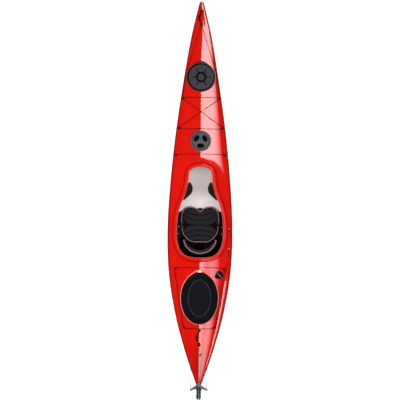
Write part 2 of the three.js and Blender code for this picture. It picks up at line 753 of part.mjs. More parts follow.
function addCoaming() {
  const lipOuter = COAMING_WALL + COAMING_LIP;
  const profile = [
    [0, -COAMING_DROP], [COAMING_WALL, -COAMING_DROP],
    [COAMING_WALL, COAMING_RISE - COAMING_LIP_THICKNESS],
    [lipOuter, COAMING_RISE - COAMING_LIP_THICKNESS - COAMING_LIP_DROOP],
    [lipOuter, COAMING_RISE - COAMING_LIP_DROOP], [COAMING_WALL + COAMING_LIP / 2, COAMING_RISE],
    [0, COAMING_RISE],
  ];
  const base = cockpitOutline.map((p) => deckTop(p.x, p.y));
  const sections = cockpitOutline.map((p, i) => {
    const outward = outwardAt(cockpitOutline, i);
    return profile.map(([out, up]) => (
      point(p.x + outward.x * out, p.y + outward.y * out, base[i] + up)
    ));
  });
  addPiece('cockpit_coaming', ringOf(sections), DECK_RED);
}

function addBulkheads() {
  for (const [name, y] of [['front_bulkhead', FRONT_BULKHEAD_Y], ['rear_bulkhead', REAR_BULKHEAD_Y]]) {
    const slab = box(HALF_BEAM * 2, BULKHEAD_THICKNESS, ceiling * 2, 0, y, 0);
    let plate = slab.intersect(innerSpace);
    for (const side of [-1, 1]) {
      const hole = cablePoint(side, y);
      const drill = solidOf(rod(CABLE_RADIUS * 3, BULKHEAD_THICKNESS * 2, CORD_SIDES));
      plate = name === 'rear_bulkhead' ? plate.subtract(drill.translate(hole.x, hole.y, hole.z)) : plate;
    }
    addPiece(name, geometryOf(plate), FOAM_GREY);
  }
}

// Rudder cables run inside along the sheer, then out through the hull side near the stern
function cablePoint(side, y) {
  const form = formNear(y);
  return point(side * (form.halfBeam - CABLE_INSET), y, form.sheer - CABLE_INSET);
}

// Hatch rims stand on the deck with a collar through it, a low step round them and a neck above it
function addHatch(hatch, material) {
  const low = deckTop(hatch.halfWidth - HATCH_FLANGE, hatch.y) - HATCH_COLLAR_DEPTH;
  const stepTop = hatch.top - LID_SKIRT - CLEARANCE;
  const stepOutline = ovalOutline(hatch, HATCH_STEP);
  if (hatch.pointed) {
    stepOutline[0].setY(stepOutline[0].y + HATCH_POINT);
  }
  const step = prism(stepOutline, low - HATCH_COLLAR_DEPTH, stepTop);
  const neck = prism(ovalOutline(hatch, -LID_WALL), low, hatch.top);
  const standing = step.add(neck).subtract(overDeck);
  const collar = prism(ovalOutline(hatch, -HATCH_FLANGE + HATCH_COLLAR), low, hatch.top);
  const bore = prism(ovalOutline(hatch, -HATCH_FLANGE), 0, ceiling);
  addPiece(`${hatch.name}_rim`, geometryOf(standing.add(collar).subtract(bore)), material);
}

// Rings of an oval body from rows of [share of the oval, margin, height]
function ovalBody(hatch, rows) {
  return loft(rows.map(([share, margin, height]) => (
    ovalOutline({
      y: hatch.y, halfWidth: hatch.halfWidth * share, halfLength: hatch.halfLength * share,
    }, margin).map((p) => p.setZ(height))
  )));
}

function capRows(hatch, middleRows) {
  const under = hatch.top + CLEARANCE;
  const hem = hatch.top - LID_SKIRT;
  return [
    [LID_CORE_SHARE, 0, under], [1, CLEARANCE - LID_WALL, under], [1, CLEARANCE - LID_WALL, hem],
    [1, 0, hem], [1, 0, under + LID_WALL / 2], [1, -LID_WALL, under + LID_WALL],
    ...middleRows.map(([share, rise]) => [share, 0, under + LID_WALL + rise]),
  ];
}

function addLids() {
  const [bow, day, stern] = hatches;
  addPiece('bow_hatch_lid', ovalBody(bow, capRows(bow, [
    [LID_RING_SHARE + LID_CORE_SHARE, LID_CROWN], [LID_RING_SHARE, LID_CROWN - LID_DISH],
    [LID_CORE_SHARE, LID_CROWN - LID_DISH],
  ])), LID_GREY);
  addPiece('stern_hatch_lid', ovalBody(stern, capRows(stern, [
    [STERN_OVAL_SHARE + LID_CORE_SHARE, LID_CROWN / 2], [STERN_OVAL_SHARE, LID_CROWN],
    [LID_CORE_SHARE, LID_CROWN + LID_DISH / 2],
  ])), LID_BLACK);
  const under = day.top + CLEARANCE;
  const plug = -HATCH_FLANGE - CLEARANCE;
  let lid = solidOf(ovalBody(day, [
    [LID_CORE_SHARE, 0, day.top - LID_SKIRT], [1, plug, day.top - LID_SKIRT], [1, plug, under],
    [1, -LID_WALL, under], [1, -LID_WALL, under + LID_WALL / 2], [1, -LID_WALL * 2, under + LID_WALL],
    [LID_RING_SHARE, 0, under + LID_WALL + LID_CROWN], [LID_CORE_SHARE, 0, under + LID_WALL + LID_CROWN],
  ]));
  for (let i = 0; i < DAY_RECESS_COUNT; i += 1) {
    const angle = Math.PI + (2 * Math.PI * i) / DAY_RECESS_COUNT;
    const reach = DAY_HATCH_RADIUS * DAY_RECESS_SHARE;
    const ball = new THREE.SphereGeometry(DAY_RECESS_RADIUS, FITTING_STEPS, CORD_SIDES);
    ball.scale(1, 1, DAY_RECESS_DEPTH / DAY_RECESS_RADIUS);
    const height = under + LID_WALL + LID_CROWN / 2;
    ball.translate(reach * Math.sin(angle), day.y + reach * Math.cos(angle), height);
    lid = lid.subtract(solidOf(ball));
  }
  addPiece('day_hatch_lid', geometryOf(lid), DAY_GREY);
}

// The day hatch opens into a pod that hangs on the rim's collar
function addPod() {
  const day = hatches[1];
  const hem = deckTop(day.halfWidth - HATCH_FLANGE, day.y) - HATCH_COLLAR_DEPTH - CLEARANCE;
  const floor = day.top - POD_DEPTH;
  const outer = HATCH_COLLAR - HATCH_FLANGE;
  addPiece('day_hatch_pod', ovalBody(day, [
    [LID_CORE_SHARE, 0, floor + POD_WALL], [1, outer - POD_WALL * 2, floor + POD_WALL],
    [1, outer - POD_WALL, hem], [1, outer, hem], [1, outer - POD_WALL, floor], [LID_CORE_SHARE, 0, floor],
  ]), PLASTIC_BLACK);
}

// Seat, hung between two hangers that bolt to the coaming
const seatLength = SEAT_FRONT_Y - SEAT_REAR_Y;
const seatOutline = outlineFrom(
  SEAT_OUTLINE_SHARES, SEAT_HALF_WIDTH, seatLength, SEAT_REAR_Y, SEAT_OUTLINE_STEPS,
);
const seatCentre = point(0, SEAT_REAR_Y + seatLength * SEAT_CENTRE_SHARE, 0);
const cushionBottom = PAN_BOTTOM + PAN_WALL + CLEARANCE;

function addSeat() {
  const tray = prism(movedOut(seatOutline, PAN_MARGIN), PAN_BOTTOM, PAN_BOTTOM + PAN_DEPTH);
  const dish = prism(movedOut(seatOutline, PAN_MARGIN - PAN_WALL), PAN_BOTTOM + PAN_WALL, ceiling);
  const mouth = prism(movedOut(cockpitOutline, -CLEARANCE), 0, ceiling);
  let pan = tray;
  for (const side of [-1, 1]) {
    const foot = SEAT_HALF_WIDTH + PAN_MARGIN - HANGER_THICKNESS;
    const coamingFoot = deckTop(COCKPIT_HALF_WIDTH, HANGER_Y) - COAMING_DROP;
    const top = coamingFoot + HANGER_OVERLAP;
    const rear = HANGER_Y - HANGER_LENGTH / 2;
    const half = [
      [foot, PAN_BOTTOM], [foot + HANGER_THICKNESS, PAN_BOTTOM],
      [COCKPIT_HALF_WIDTH, coamingFoot - HANGER_OVERLAP], [COCKPIT_HALF_WIDTH, top],
      [COCKPIT_HALF_WIDTH - HANGER_THICKNESS * 2, top],
      [COCKPIT_HALF_WIDTH - HANGER_THICKNESS * 2, coamingFoot - HANGER_OVERLAP],
    ];
    const ends = [rear, rear + HANGER_LENGTH].map((y) => half.map(([x, z]) => point(side * x, y, z)));
    pan = pan.add(solidOf(loft(ends)).intersect(mouth));
  }
  pan = pan.subtract(dish.intersect(tray.translate(0, 0, PAN_WALL)));
  for (const side of [-1, 1]) {
    for (const face of [-1, 1]) {
      const reach = BACK_LUG_WIDTH / 2 + CLEARANCE + BACK_EAR_THICKNESS / 2;
      pan = pan.add(earBody(side * BACK_HINGE_X + face * reach));
    }
  }
  const hinge = backHingePoint();
  for (const side of [-1, 1]) {
    const boreLength = BACK_LUG_WIDTH + BACK_EAR_THICKNESS * 2 + BACK_BORE_OVERRUN;
    const hole = rod(BACK_PIN_RADIUS + CLEARANCE, boreLength, FITTING_STEPS);
    pan = pan.subtract(solidOf(hole.rotateZ(Math.PI / 2).translate(side * BACK_HINGE_X, hinge.y, hinge.z)));
  }
  addPiece('seat_pan', geometryOf(pan), PLASTIC_BLACK);
  addPiece('seat_cushion', cushionBody(), FABRIC_BLACK);
}

function backHingePoint() {
  return point(0, SEAT_REAR_Y - PAN_MARGIN - BACK_LUG_RADIUS, BACK_HINGE_HEIGHT);
}

// An ear rises from the tray's rear wall and ends round the back rest's hinge
function earBody(x) {
  const hinge = backHingePoint();
  const eye = rod(BACK_LUG_RADIUS, BACK_EAR_THICKNESS, FITTING_STEPS).rotateZ(Math.PI / 2);
  const post = box(
    BACK_EAR_THICKNESS, BACK_LUG_RADIUS * 2, BACK_HINGE_HEIGHT - PAN_BOTTOM,
    x, hinge.y, (BACK_HINGE_HEIGHT + PAN_BOTTOM) / 2,
  );
  const root = box(
    BACK_EAR_THICKNESS, BACK_LUG_RADIUS * 2 + PAN_MARGIN, PAN_WALL,
    x, hinge.y + PAN_MARGIN, PAN_BOTTOM + PAN_WALL / 2,
  );
  return solidOf(eye.translate(x, hinge.y, hinge.z)).add(post).add(root);
}

// The cushion is crowned, drawn in at its sides, with curved channels across it
function cushionBody() {
  const ringAt = (share, height) => seatOutline.map((p) => {
    const x = p.x * share;
    const y = THREE.MathUtils.lerp(seatCentre.y, p.y, share);
    return point(x, y, height(x, y));
  });
  const flat = (z) => () => z;
  const crowned = (share) => (x, y) => {
    const bend = Math.abs(x / SEAT_HALF_WIDTH) ** 2 * CUSHION_CHANNEL_PITCH;
    const wave = Math.cos((2 * Math.PI * (y - SEAT_REAR_Y + bend)) / CUSHION_CHANNEL_PITCH);
    const rise = CUSHION_CROWN - CUSHION_CHANNEL * Math.max(0, wave) ** 2;
    return cushionBottom + CUSHION_THICKNESS + rise * (1 - share ** 2);
  };
  const rings = [
    ringAt(CUSHION_RING_SHARES[1], flat(cushionBottom)),
    ringAt(CUSHION_RING_SHARES[0], flat(cushionBottom + CUSHION_CROWN)),
    ringAt(1, flat(cushionBottom + CUSHION_THICKNESS / 2)),
    ...CUSHION_RING_SHARES.map((share, i) => (
      ringAt(share, i === 0 ? flat(cushionBottom + CUSHION_THICKNESS - CUSHION_CHANNEL) : crowned(share))
    )),
  ];
  return loft(rings);
}

// Back rest: a curved padded band on a thin frame that folds on two lugs
function bandBody(inner, outer, bottom, top) {
  const sweep = THREE.MathUtils.degToRad(BACK_SWEEP_DEG);
  const place = (across, up, radius) => {
    const angle = across * sweep;
    const rounding = 1 - BACK_ROUND_SHARE * Math.abs(across) ** 4;
    const z = bottom + (top - bottom) * (up - (up - 1 / 2) * (1 - rounding));
    const r = radius + BACK_LEAN * ((z - BACK_BOTTOM) / BACK_HEIGHT);
    return point(r * Math.sin(angle), BACK_CENTRE_Y - r * Math.cos(angle), z);
  };
  const rings = Array.from({ length: BACK_ACROSS_STEPS + 1 }, (_, i) => {
    const across = (2 * i) / BACK_ACROSS_STEPS - 1;
    const ups = Array.from({ length: BACK_UP_STEPS + 1 }, (__, k) => k / BACK_UP_STEPS);
    const front = ups.map((up) => place(across, up, inner(across, up)));
    const rear = ups.map((up) => place(across, up, outer)).reverse();
    return [...front, ...rear];
  });
  return loft(rings);
}

function addBackRest() {
  const padBack = BACK_RADIUS + BACK_PAD_THICKNESS;
  const plump = (across, up) => {
    const turn = Math.PI * THREE.MathUtils.lerp(BACK_EDGE_SHARE, 1 - BACK_EDGE_SHARE, up);
    const edge = (1 - across ** 4) * Math.sin(turn);
    const channel = Math.max(0, Math.cos(BACK_CHANNELS * Math.PI * up)) * CUSHION_CHANNEL;
    return padBack - BACK_PAD_THICKNESS * THREE.MathUtils.lerp(BACK_THIN_SHARE, 1, edge) + channel * edge;
  };
  const padTop = BACK_BOTTOM + BACK_HEIGHT;
  const pad = bandBody(plump, padBack, BACK_BOTTOM, padTop);
  addPiece('backrest_pad', pad, FABRIC_BLACK);
  const frameFace = padBack + CLEARANCE;
  const margin = BACK_FRAME_THICKNESS * 2;
  let frame = solidOf(bandBody(
    () => frameFace, frameFace + BACK_FRAME_THICKNESS, BACK_BOTTOM, padTop - margin,
  ));
  const hinge = backHingePoint();
  for (const side of [-1, 1]) {
    const x = side * BACK_HINGE_X;
    const eye = rod(BACK_LUG_RADIUS, BACK_LUG_WIDTH, FITTING_STEPS).rotateZ(Math.PI / 2);
    const pinLength = BACK_LUG_WIDTH + (CLEARANCE + BACK_EAR_THICKNESS) * 2;
    const pin = rod(BACK_PIN_RADIUS, pinLength, FITTING_STEPS).rotateZ(Math.PI / 2);
    const angle = Math.asin((BACK_HINGE_X - BACK_LUG_WIDTH / 2) / frameFace);
    const bandY = BACK_CENTRE_Y - (frameFace + BACK_FRAME_THICKNESS / 2) * Math.cos(angle);
    const armTop = BACK_BOTTOM + BACK_HEIGHT / 4;
    const leanY = bandY - BACK_LEAN / 4;
    const arm = [
      [hinge.y - BACK_LUG_RADIUS / 2, hinge.z], [hinge.y + BACK_LUG_RADIUS / 2, hinge.z],
      [bandY, BACK_BOTTOM - CLEARANCE], [leanY, armTop], [leanY - BACK_FRAME_THICKNESS, armTop],
      [bandY - BACK_FRAME_THICKNESS * 3, BACK_BOTTOM],
    ];
    const armOutline = arm.map(([y, z]) => point(y, z, 0));
    const armBody = prism(armOutline, x - BACK_LUG_WIDTH / 2, x + BACK_LUG_WIDTH / 2).rotate([90, 0, 90]);
    frame = frame.add(solidOf(eye.translate(x, hinge.y, hinge.z)));
    frame = frame.add(solidOf(pin.translate(x, hinge.y, hinge.z)));
    frame = frame.add(armBody);
  }
  addPiece('backrest_frame', geometryOf(frame), PLASTIC_BLACK);
}

// Hip pads lie against the inner faces of the hangers
function addHipPads() {
  const foot = SEAT_HALF_WIDTH + PAN_MARGIN - HANGER_THICKNESS;
  const coamingFoot = deckTop(COCKPIT_HALF_WIDTH, HANGER_Y) - COAMING_DROP - HANGER_OVERLAP;
  const insideAt = (z) => {
    const t = (z - PAN_BOTTOM) / (coamingFoot - PAN_BOTTOM);
    return THREE.MathUtils.lerp(foot, COCKPIT_HALF_WIDTH - HANGER_THICKNESS * 2, t) - CLEARANCE;
  };
  for (const [name, side] of [['hip_pad_left', -1], ['hip_pad_right', 1]]) {
    const low = HIP_PAD_BOTTOM;
    const high = HIP_PAD_BOTTOM + HIP_PAD_HEIGHT;
    const shape = [
      [insideAt(low), low], [insideAt(high), high], [insideAt(high) - HIP_PAD_THICKNESS / 2, high],
      [insideAt(low) - HIP_PAD_THICKNESS, (low + high) / 2], [insideAt(low) - HIP_PAD_THICKNESS / 2, low],
    ];
    const rear = HANGER_Y - HIP_PAD_LENGTH / 2;
    const ends = [rear, rear + HIP_PAD_LENGTH].map((y) => shape.map(([x, z]) => point(side * x, y, z)));
    addPiece(name, loft(ends), FOAM_BLACK);
  }
}

// Half width of the cockpit opening at a place along it
function openingAt(y) {
  const starboard = cockpitOutline.filter((p) => p.x >= 0);
  let best = 0;
  starboard.forEach((p, i) => {
    const q = starboard[i + 1];
    if (q && (p.y - y) * (q.y - y) <= 0 && p.y !== q.y) {
      best = Math.max(best, THREE.MathUtils.lerp(p.x, q.x, (y - p.y) / (q.y - p.y)));
    }
  });
  return best;
}

// Thigh braces reach inwards and down from the coaming wall, as half moons in plan
function addThighBraces() {
  const mouth = prism(movedOut(cockpitOutline, -CLEARANCE), 0, ceiling);
  for (const [name, side] of [['thigh_brace_left', -1], ['thigh_brace_right', 1]]) {
    const rings = Array.from({ length: BRACE_STEPS + 1 }, (_, i) => {
      const t = i / BRACE_STEPS;
      const y = THREE.MathUtils.lerp(BRACE_REAR_Y, BRACE_FRONT_Y, t);
      const turn = Math.PI * THREE.MathUtils.lerp(BRACE_TIP_SHARE, 1 - BRACE_TIP_SHARE, t);
      const bulge = BRACE_REACH * Math.sin(turn);
      const outer = openingAt(y) + CLEARANCE * 2;
      const root = deckTop(outer, y) - COAMING_DROP + BRACE_THICKNESS;
      const inner = outer - bulge;
      const fall = root - BRACE_FALL;
      return [
        [outer, root], [inner, fall], [inner - BRACE_NOSE, fall - BRACE_THICKNESS / 2],
        [inner, fall - BRACE_THICKNESS], [outer, root - BRACE_THICKNESS],
      ].map(([x, z]) => point(side * x, y, z));
    });
    addPiece(name, geometryOf(solidOf(loft(rings)).intersect(mouth)), FOAM_BLACK);
  }
}

// Foot rests: a rail on standoffs, a carriage that slides along it and a pedal on the carriage
function addFootRests() {
  for (const [suffix, side] of [['left', -1], ['right', 1]]) {
    const front = railPoint(side, RAIL_FRONT_Y);
    const rear = railPoint(side, RAIL_REAR_Y);
    const along = front.clone().sub(rear).normalize();
    const turn = -Math.atan2(along.x, along.y);
    const middle = front.clone().add(rear).divideScalar(2);
    const length = front.distanceTo(rear);
    const lay = (solid, x, y, z) => solid.translate(side * x, y, z)
      .rotate([0, 0, THREE.MathUtils.radToDeg(turn)]).translate(middle.x, middle.y, middle.z);
    let rail = lay(box(RAIL_THICKNESS, length, RAIL_HEIGHT, 0, 0, 0), 0, 0, 0);
    for (const end of [-1, 1]) {
      const boss = box(RAIL_STANDOFF * 3, RAIL_BOSS_LENGTH, RAIL_HEIGHT / 2, 0, 0, 0);
      rail = rail.add(lay(boss, RAIL_STANDOFF * 3 / 2, end * (length - RAIL_BOSS_LENGTH) / 2, 0));
    }
    addPiece(`foot_rail_${suffix}`, geometryOf(rail.intersect(innerSpace)), ALUMINIUM);

    const slideAt = (CARRIAGE_Y - middle.y) / along.y;
    const gap = RAIL_THICKNESS / 2 + CLEARANCE;
    const carriageHeight = RAIL_HEIGHT + (CARRIAGE_WALL + CLEARANCE) * 2;
    const body = box(CARRIAGE_THICKNESS, CARRIAGE_LENGTH, carriageHeight, 0, 0, 0);
    const lips = box(RAIL_THICKNESS, CARRIAGE_LENGTH, carriageHeight, 0, 0, 0);
    const slot = box(RAIL_THICKNESS * 2, CARRIAGE_LENGTH * 2, RAIL_HEIGHT + CLEARANCE * 2, 0, 0, 0);
    let carriage = lay(body, -(gap + CARRIAGE_THICKNESS / 2), slideAt, 0);
    carriage = carriage.add(lay(lips, -RAIL_THICKNESS / 3, slideAt, 0));
    carriage = carriage.subtract(lay(slot, -gap + RAIL_THICKNESS, slideAt, 0));
    const pinAt = pedalPin(side);
    const pin = rod(PEDAL_PIN_RADIUS, PEDAL_PIN_LENGTH * 2, FITTING_STEPS).rotateZ(Math.PI / 2);
    carriage = carriage.add(solidOf(pin.translate(pinAt.x, pinAt.y, pinAt.z)).subtract(
      lay(box(gap * 4, length, ceiling, 0, 0, 0), gap, 0, 0),
    ));
    addPiece(`foot_carriage_${suffix}`, geometryOf(carriage), PLASTIC_BLACK);

    const face = PEDAL_PIN_LENGTH / 3;
    const plate = box(
      PEDAL_WIDTH, PEDAL_THICKNESS, PEDAL_HEIGHT,
      pinAt.x - side * (face + PEDAL_WIDTH / 2), pinAt.y, pinAt.z + PEDAL_HEIGHT / 2 - PEDAL_DROP,
    );
    const hub = rod(PEDAL_PIN_RADIUS * 2, PEDAL_PIN_LENGTH, FITTING_STEPS).rotateZ(Math.PI / 2);
    const hole = rod(PEDAL_PIN_RADIUS + CLEARANCE, PEDAL_PIN_LENGTH * 2 + CLEARANCE * 2, FITTING_STEPS);
    const hubX = pinAt.x - side * (face + PEDAL_PIN_LENGTH / 2);
    let pedal = plate.add(solidOf(hub.translate(hubX, pinAt.y, pinAt.z)));
    pedal = pedal.subtract(solidOf(hole.rotateZ(Math.PI / 2).translate(pinAt.x, pinAt.y, pinAt.z)));
    addPiece(`foot_pedal_${suffix}`, geometryOf(pedal), PLASTIC_BLACK);
  }
}

function railPoint(side, y) {
  const form = formNear(y);
  const wall = form.halfBeam - SHELL_WALL - RAIL_STANDOFF * 2 - RAIL_THICKNESS / 2;
  return point(side * wall, y, RAIL_Z);
}

function pedalPin(side) {
  const at = railPoint(side, CARRIAGE_Y);
  const inward = RAIL_THICKNESS / 2 + CLEARANCE + CARRIAGE_THICKNESS;
  return point(at.x - side * inward, CARRIAGE_Y, RAIL_Z);
}

// Deck fittings: a base that follows the deck and a capped post that cords pass round
const fittingTop = FITTING_BASE + POST_HEIGHT;

function fittingBody(x, y, profile, foot) {
  const base = deckTop(x, y);
  const rows = [[0, -foot], [profile[0][0], -foot], ...profile, [0, profile.at(-1)[1]]];
  const body = solidOf(turned(rows, FITTING_STEPS).translate(x, y, base));
  return body.subtract(overDeck);
}

function deckFittings() {
  const rows = [
    ['front', FRONT_FITTING_Y, (y, i) => formNear(y).halfBeam - FRONT_FITTING_INSETS[i]],
    ['aft', AFT_FITTING_Y, (y, i) => STERN_HATCH_HALF_WIDTH + AFT_FITTING_SPREADS[i]],
  ];
  const places = [];
  for (const [zone, list, acrossAt] of rows) {
    list.forEach((y, i) => {
      const x = acrossAt(y, i);
      places.push({ name: `${zone}_fitting_${i + 1}_left`, x: -x, y });
      places.push({ name: `${zone}_fitting_${i + 1}_right`, x, y });
    });
  }
  return places;
}
const fittings = deckFittings();

function fittingAt(name) {
  return fittings.find((fitting) => fitting.name === name);
}

function addFittings() {
  const profile = [
    [FITTING_RADIUS, FITTING_BASE], [POST_RADIUS, FITTING_BASE],
    [POST_RADIUS, fittingTop - POST_CAP], [POST_CAP_RADIUS, fittingTop - POST_CAP],
    [POST_CAP_RADIUS, fittingTop],
  ];
  for (const { name, x, y } of fittings) {
    addPiece(name, geometryOf(fittingBody(x, y, profile, FITTING_RADIUS)), PLASTIC_BLACK);
  }
}

// A cord's height over the deck, with lift for where it passes over another
function onDeck(x, y, radius, lift) {
  return point(x, y, deckTop(x, y) + radius + CORD_LIFT + lift);
}

const cordRow = FITTING_BASE + CORD_RADIUS + CLEARANCE;

// Where a straight run in plan crosses the deck's knuckles, as shares of the run
function knuckleShares(from, to) {
  const knots = DECK_SECTION_SHARES.map(([across]) => across);
  const wanted = [...knots, ...knots.filter((k) => k > 0).map((k) => -k)];
  const span = to.x - from.x;
  return wanted.map((share) => {
    let t = 1 / 2;
    for (let k = 0; k < DECK_SECTION_SHARES.length; k += 1) {
      t = (share * formNear(THREE.MathUtils.lerp(from.y, to.y, t)).halfBeam - from.x) / span;
    }
    return t;
  }).filter((t) => t > RUN_END_SHARE && t < 1 - RUN_END_SHARE).sort((a, b) => a - b);
}

// A run between two posts that lies on the deck, with a hump where it passes over another
function runAcross(from, to, radius, hump) {
  return knuckleShares(from, to).map((t) => {
    const x = THREE.MathUtils.lerp(from.x, to.x, t);
    const y = THREE.MathUtils.lerp(from.y, to.y, t);
    return onDeck(x, y, radius, Math.abs(t - 1 / 2) < RUN_END_SHARE ? hump : 0);
  });
}

// A run along the boat in even steps
function runAlong(from, to, steps, radius) {
  return Array.from({ length: steps - 1 }, (_, i) => {
    const t = (i + 1) / steps;
    return onDeck(THREE.MathUtils.lerp(from.x, to.x, t), THREE.MathUtils.lerp(from.y, to.y, t), radius, 0);
  });
}

// Places round a post that a cord turns on, from one heading to another
function roundPost(fitting, startDeg, endDeg, count, radius) {
  const reach = POST_RADIUS + radius + CLEARANCE * 2;
  return Array.from({ length: count }, (_, i) => {
    const angle = THREE.MathUtils.degToRad(THREE.MathUtils.lerp(startDeg, endDeg, i / (count - 1)));
    const x = fitting.x + reach * Math.cos(angle);
    const y = fitting.y + reach * Math.sin(angle);
    return point(x, y, deckTop(fitting.x, fitting.y) + cordRow + CORD_LIFT);
  });
}

function addCords() {
  const steady = (radius) => () => radius;
  const bowLeft = fittingAt('front_fitting_1_left');
  const bowRight = fittingAt('front_fitting_1_right');
  const midLeft = fittingAt('front_fitting_2_left');
  const midRight = fittingAt('front_fitting_2_right');
  const kneeLeft = fittingAt('front_fitting_3_left');
  const kneeRight = fittingAt('front_fitting_3_right');
  const aftLeft = fittingAt('aft_fitting_1_left');
  const aftRight = fittingAt('aft_fitting_1_right');
  const endLeft = fittingAt('aft_fitting_2_left');
  const endRight = fittingAt('aft_fitting_2_right');
  const reach = POST_RADIUS + CORD_RADIUS + CLEARANCE * 2;
  const shifted = (fitting, dx, dy) => ({ x: fitting.x + dx, y: fitting.y + dy });
  const across = (from, to, hump) => runAcross(from, to, CORD_RADIUS, hump);
  const along = (from, to) => runAlong(from, to, SIDE_RUN_STEPS, CORD_RADIUS);

  const bungee = [
    ...roundPost(bowLeft, 180, 90, 3, CORD_RADIUS),
    ...across(shifted(bowLeft, 0, reach), shifted(bowRight, 0, reach), 0),
    ...roundPost(bowRight, 90, -60, 4, CORD_RADIUS),
    ...across(shifted(bowRight, 0, -reach), shifted(midLeft, 0, reach), 0),
    ...roundPost(midLeft, 120, 270, 4, CORD_RADIUS),
    ...across(shifted(midLeft, 0, -reach), shifted(midRight, 0, -reach), 0),
    ...roundPost(midRight, -90, 60, 4, CORD_RADIUS),
    ...across(shifted(midRight, 0, reach), shifted(bowLeft, reach, -reach), CORD_RADIUS * 3),
    point(bowLeft.x + reach, bowLeft.y - reach, deckTop(bowLeft.x, bowLeft.y) + cordRow + CORD_LIFT),
  ];
  addPiece('front_bungee', tube(bungee, steady(CORD_RADIUS), CORD_SIDES), CORD_DARK);

  const knee = [
    ...roundPost(kneeLeft, 180, 90, 3, CORD_RADIUS),
    ...across(shifted(kneeLeft, 0, reach), shifted(kneeRight, 0, reach), 0),
    ...roundPost(kneeRight, 90, 0, 3, CORD_RADIUS),
  ];
  addPiece('knee_deck_line', tube(knee, steady(CORD_RADIUS), CORD_SIDES), CORD_DARK);

  const spread = AFT_LINE_SPREAD / 2;
  const aft = [
    ...roundPost(aftLeft, 0, 90, 3, CORD_RADIUS),
    ...across(shifted(aftLeft, 0, spread), shifted(aftRight, 0, spread), 0),
    ...roundPost(aftRight, 90, -30, 4, CORD_RADIUS),
    ...along(shifted(aftRight, reach / 2, -reach), shifted(endRight, reach, 0)),
    ...roundPost(endRight, 0, -90, 3, CORD_RADIUS),
    ...across(shifted(endRight, 0, -spread), shifted(endLeft, 0, -spread), 0),
    ...roundPost(endLeft, 270, 180, 3, CORD_RADIUS),
    ...along(shifted(endLeft, -reach, 0), shifted(aftLeft, -reach, 0)),
    point(aftLeft.x - reach, aftLeft.y - reach, deckTop(aftLeft.x, aftLeft.y) + cordRow + CORD_LIFT),
  ];
  addPiece('aft_deck_line', tube(aft, steady(CORD_RADIUS), CORD_SIDES), CORD_DARK);

  const hatchSide = BOW_HATCH_RADIUS + HATCH_STEP + THIN_CORD_RADIUS * 3;
  const postY = BOW_HANDLE_Y[1] - HANDLE_FITTING_RADIUS - THIN_CORD_RADIUS * 2;
  const bend = { x: hatchSide, y: BOW_HATCH_Y + BOW_HATCH_RADIUS / 4 };
  const low = shifted(bowRight, 0, FITTING_RADIUS + CLEARANCE * 2);
  const high = { x: THIN_CORD_RADIUS * 4, y: postY };
  const starboard = [
    onDeck(low.x, low.y, THIN_CORD_RADIUS, 0), ...runAlong(low, bend, 4, THIN_CORD_RADIUS),
    onDeck(bend.x, bend.y, THIN_CORD_RADIUS, 0), ...runAlong(bend, high, SIDE_RUN_STEPS, THIN_CORD_RADIUS),
    onDeck(high.x, high.y, THIN_CORD_RADIUS, CORD_LIFT),
  ];
  const port = starboard.map((p) => point(-p.x, p.y, p.z)).reverse();
  const crest = onDeck(0, postY - THIN_CORD_RADIUS * 2, THIN_CORD_RADIUS, CORD_LIFT);
  const bowLine = [...starboard, crest, ...port];
  addPiece('bow_deck_line', tube(bowLine, steady(THIN_CORD_RADIUS), CORD_SIDES), CORD_DARK);
}

// Carry handles: two posts on the ridge and a cord with a thick grip, lying to port
function addHandle(name, places) {
  const profile = [
    [HANDLE_FITTING_RADIUS, FITTING_BASE], [POST_RADIUS, FITTING_BASE],
    [POST_RADIUS, HANDLE_POST_HEIGHT],
  ];
  places.forEach((y, i) => {
    const fitting = geometryOf(fittingBody(0, y, profile, HANDLE_FITTING_RADIUS));
    addPiece(`${name}_fitting_${i + 1}`, fitting, PLASTIC_BLACK);
  });
  const height = Math.max(...places.map((y) => deckTop(0, y))) + HANDLE_AXIS_LIFT;
  const [fore, aft] = places;
  const start = fore - POST_RADIUS - CLEARANCE;
  const end = aft + POST_RADIUS + CLEARANCE;
  const bowed = Array.from({ length: HANDLE_STEPS + 1 }, (_, i) => {
    const t = i / HANDLE_STEPS;
    const y = THREE.MathUtils.lerp(start - HANDLE_CORD_RADIUS, end + HANDLE_CORD_RADIUS, t);
    return point(-HANDLE_BOW * Math.sin(Math.PI * t), y, height);
  });
  const path = [point(0, start, height), ...bowed, point(0, end, height)];
  const radiusAt = (i) => {
    const t = (i - 1) / HANDLE_STEPS;
    return t > HANDLE_GRIP_SHARE && t < 1 - HANDLE_GRIP_SHARE ? HANDLE_GRIP_RADIUS : HANDLE_CORD_RADIUS;
  };
  addPiece(name, tube(path, radiusAt, CORD_SIDES), PLASTIC_BLACK);
}

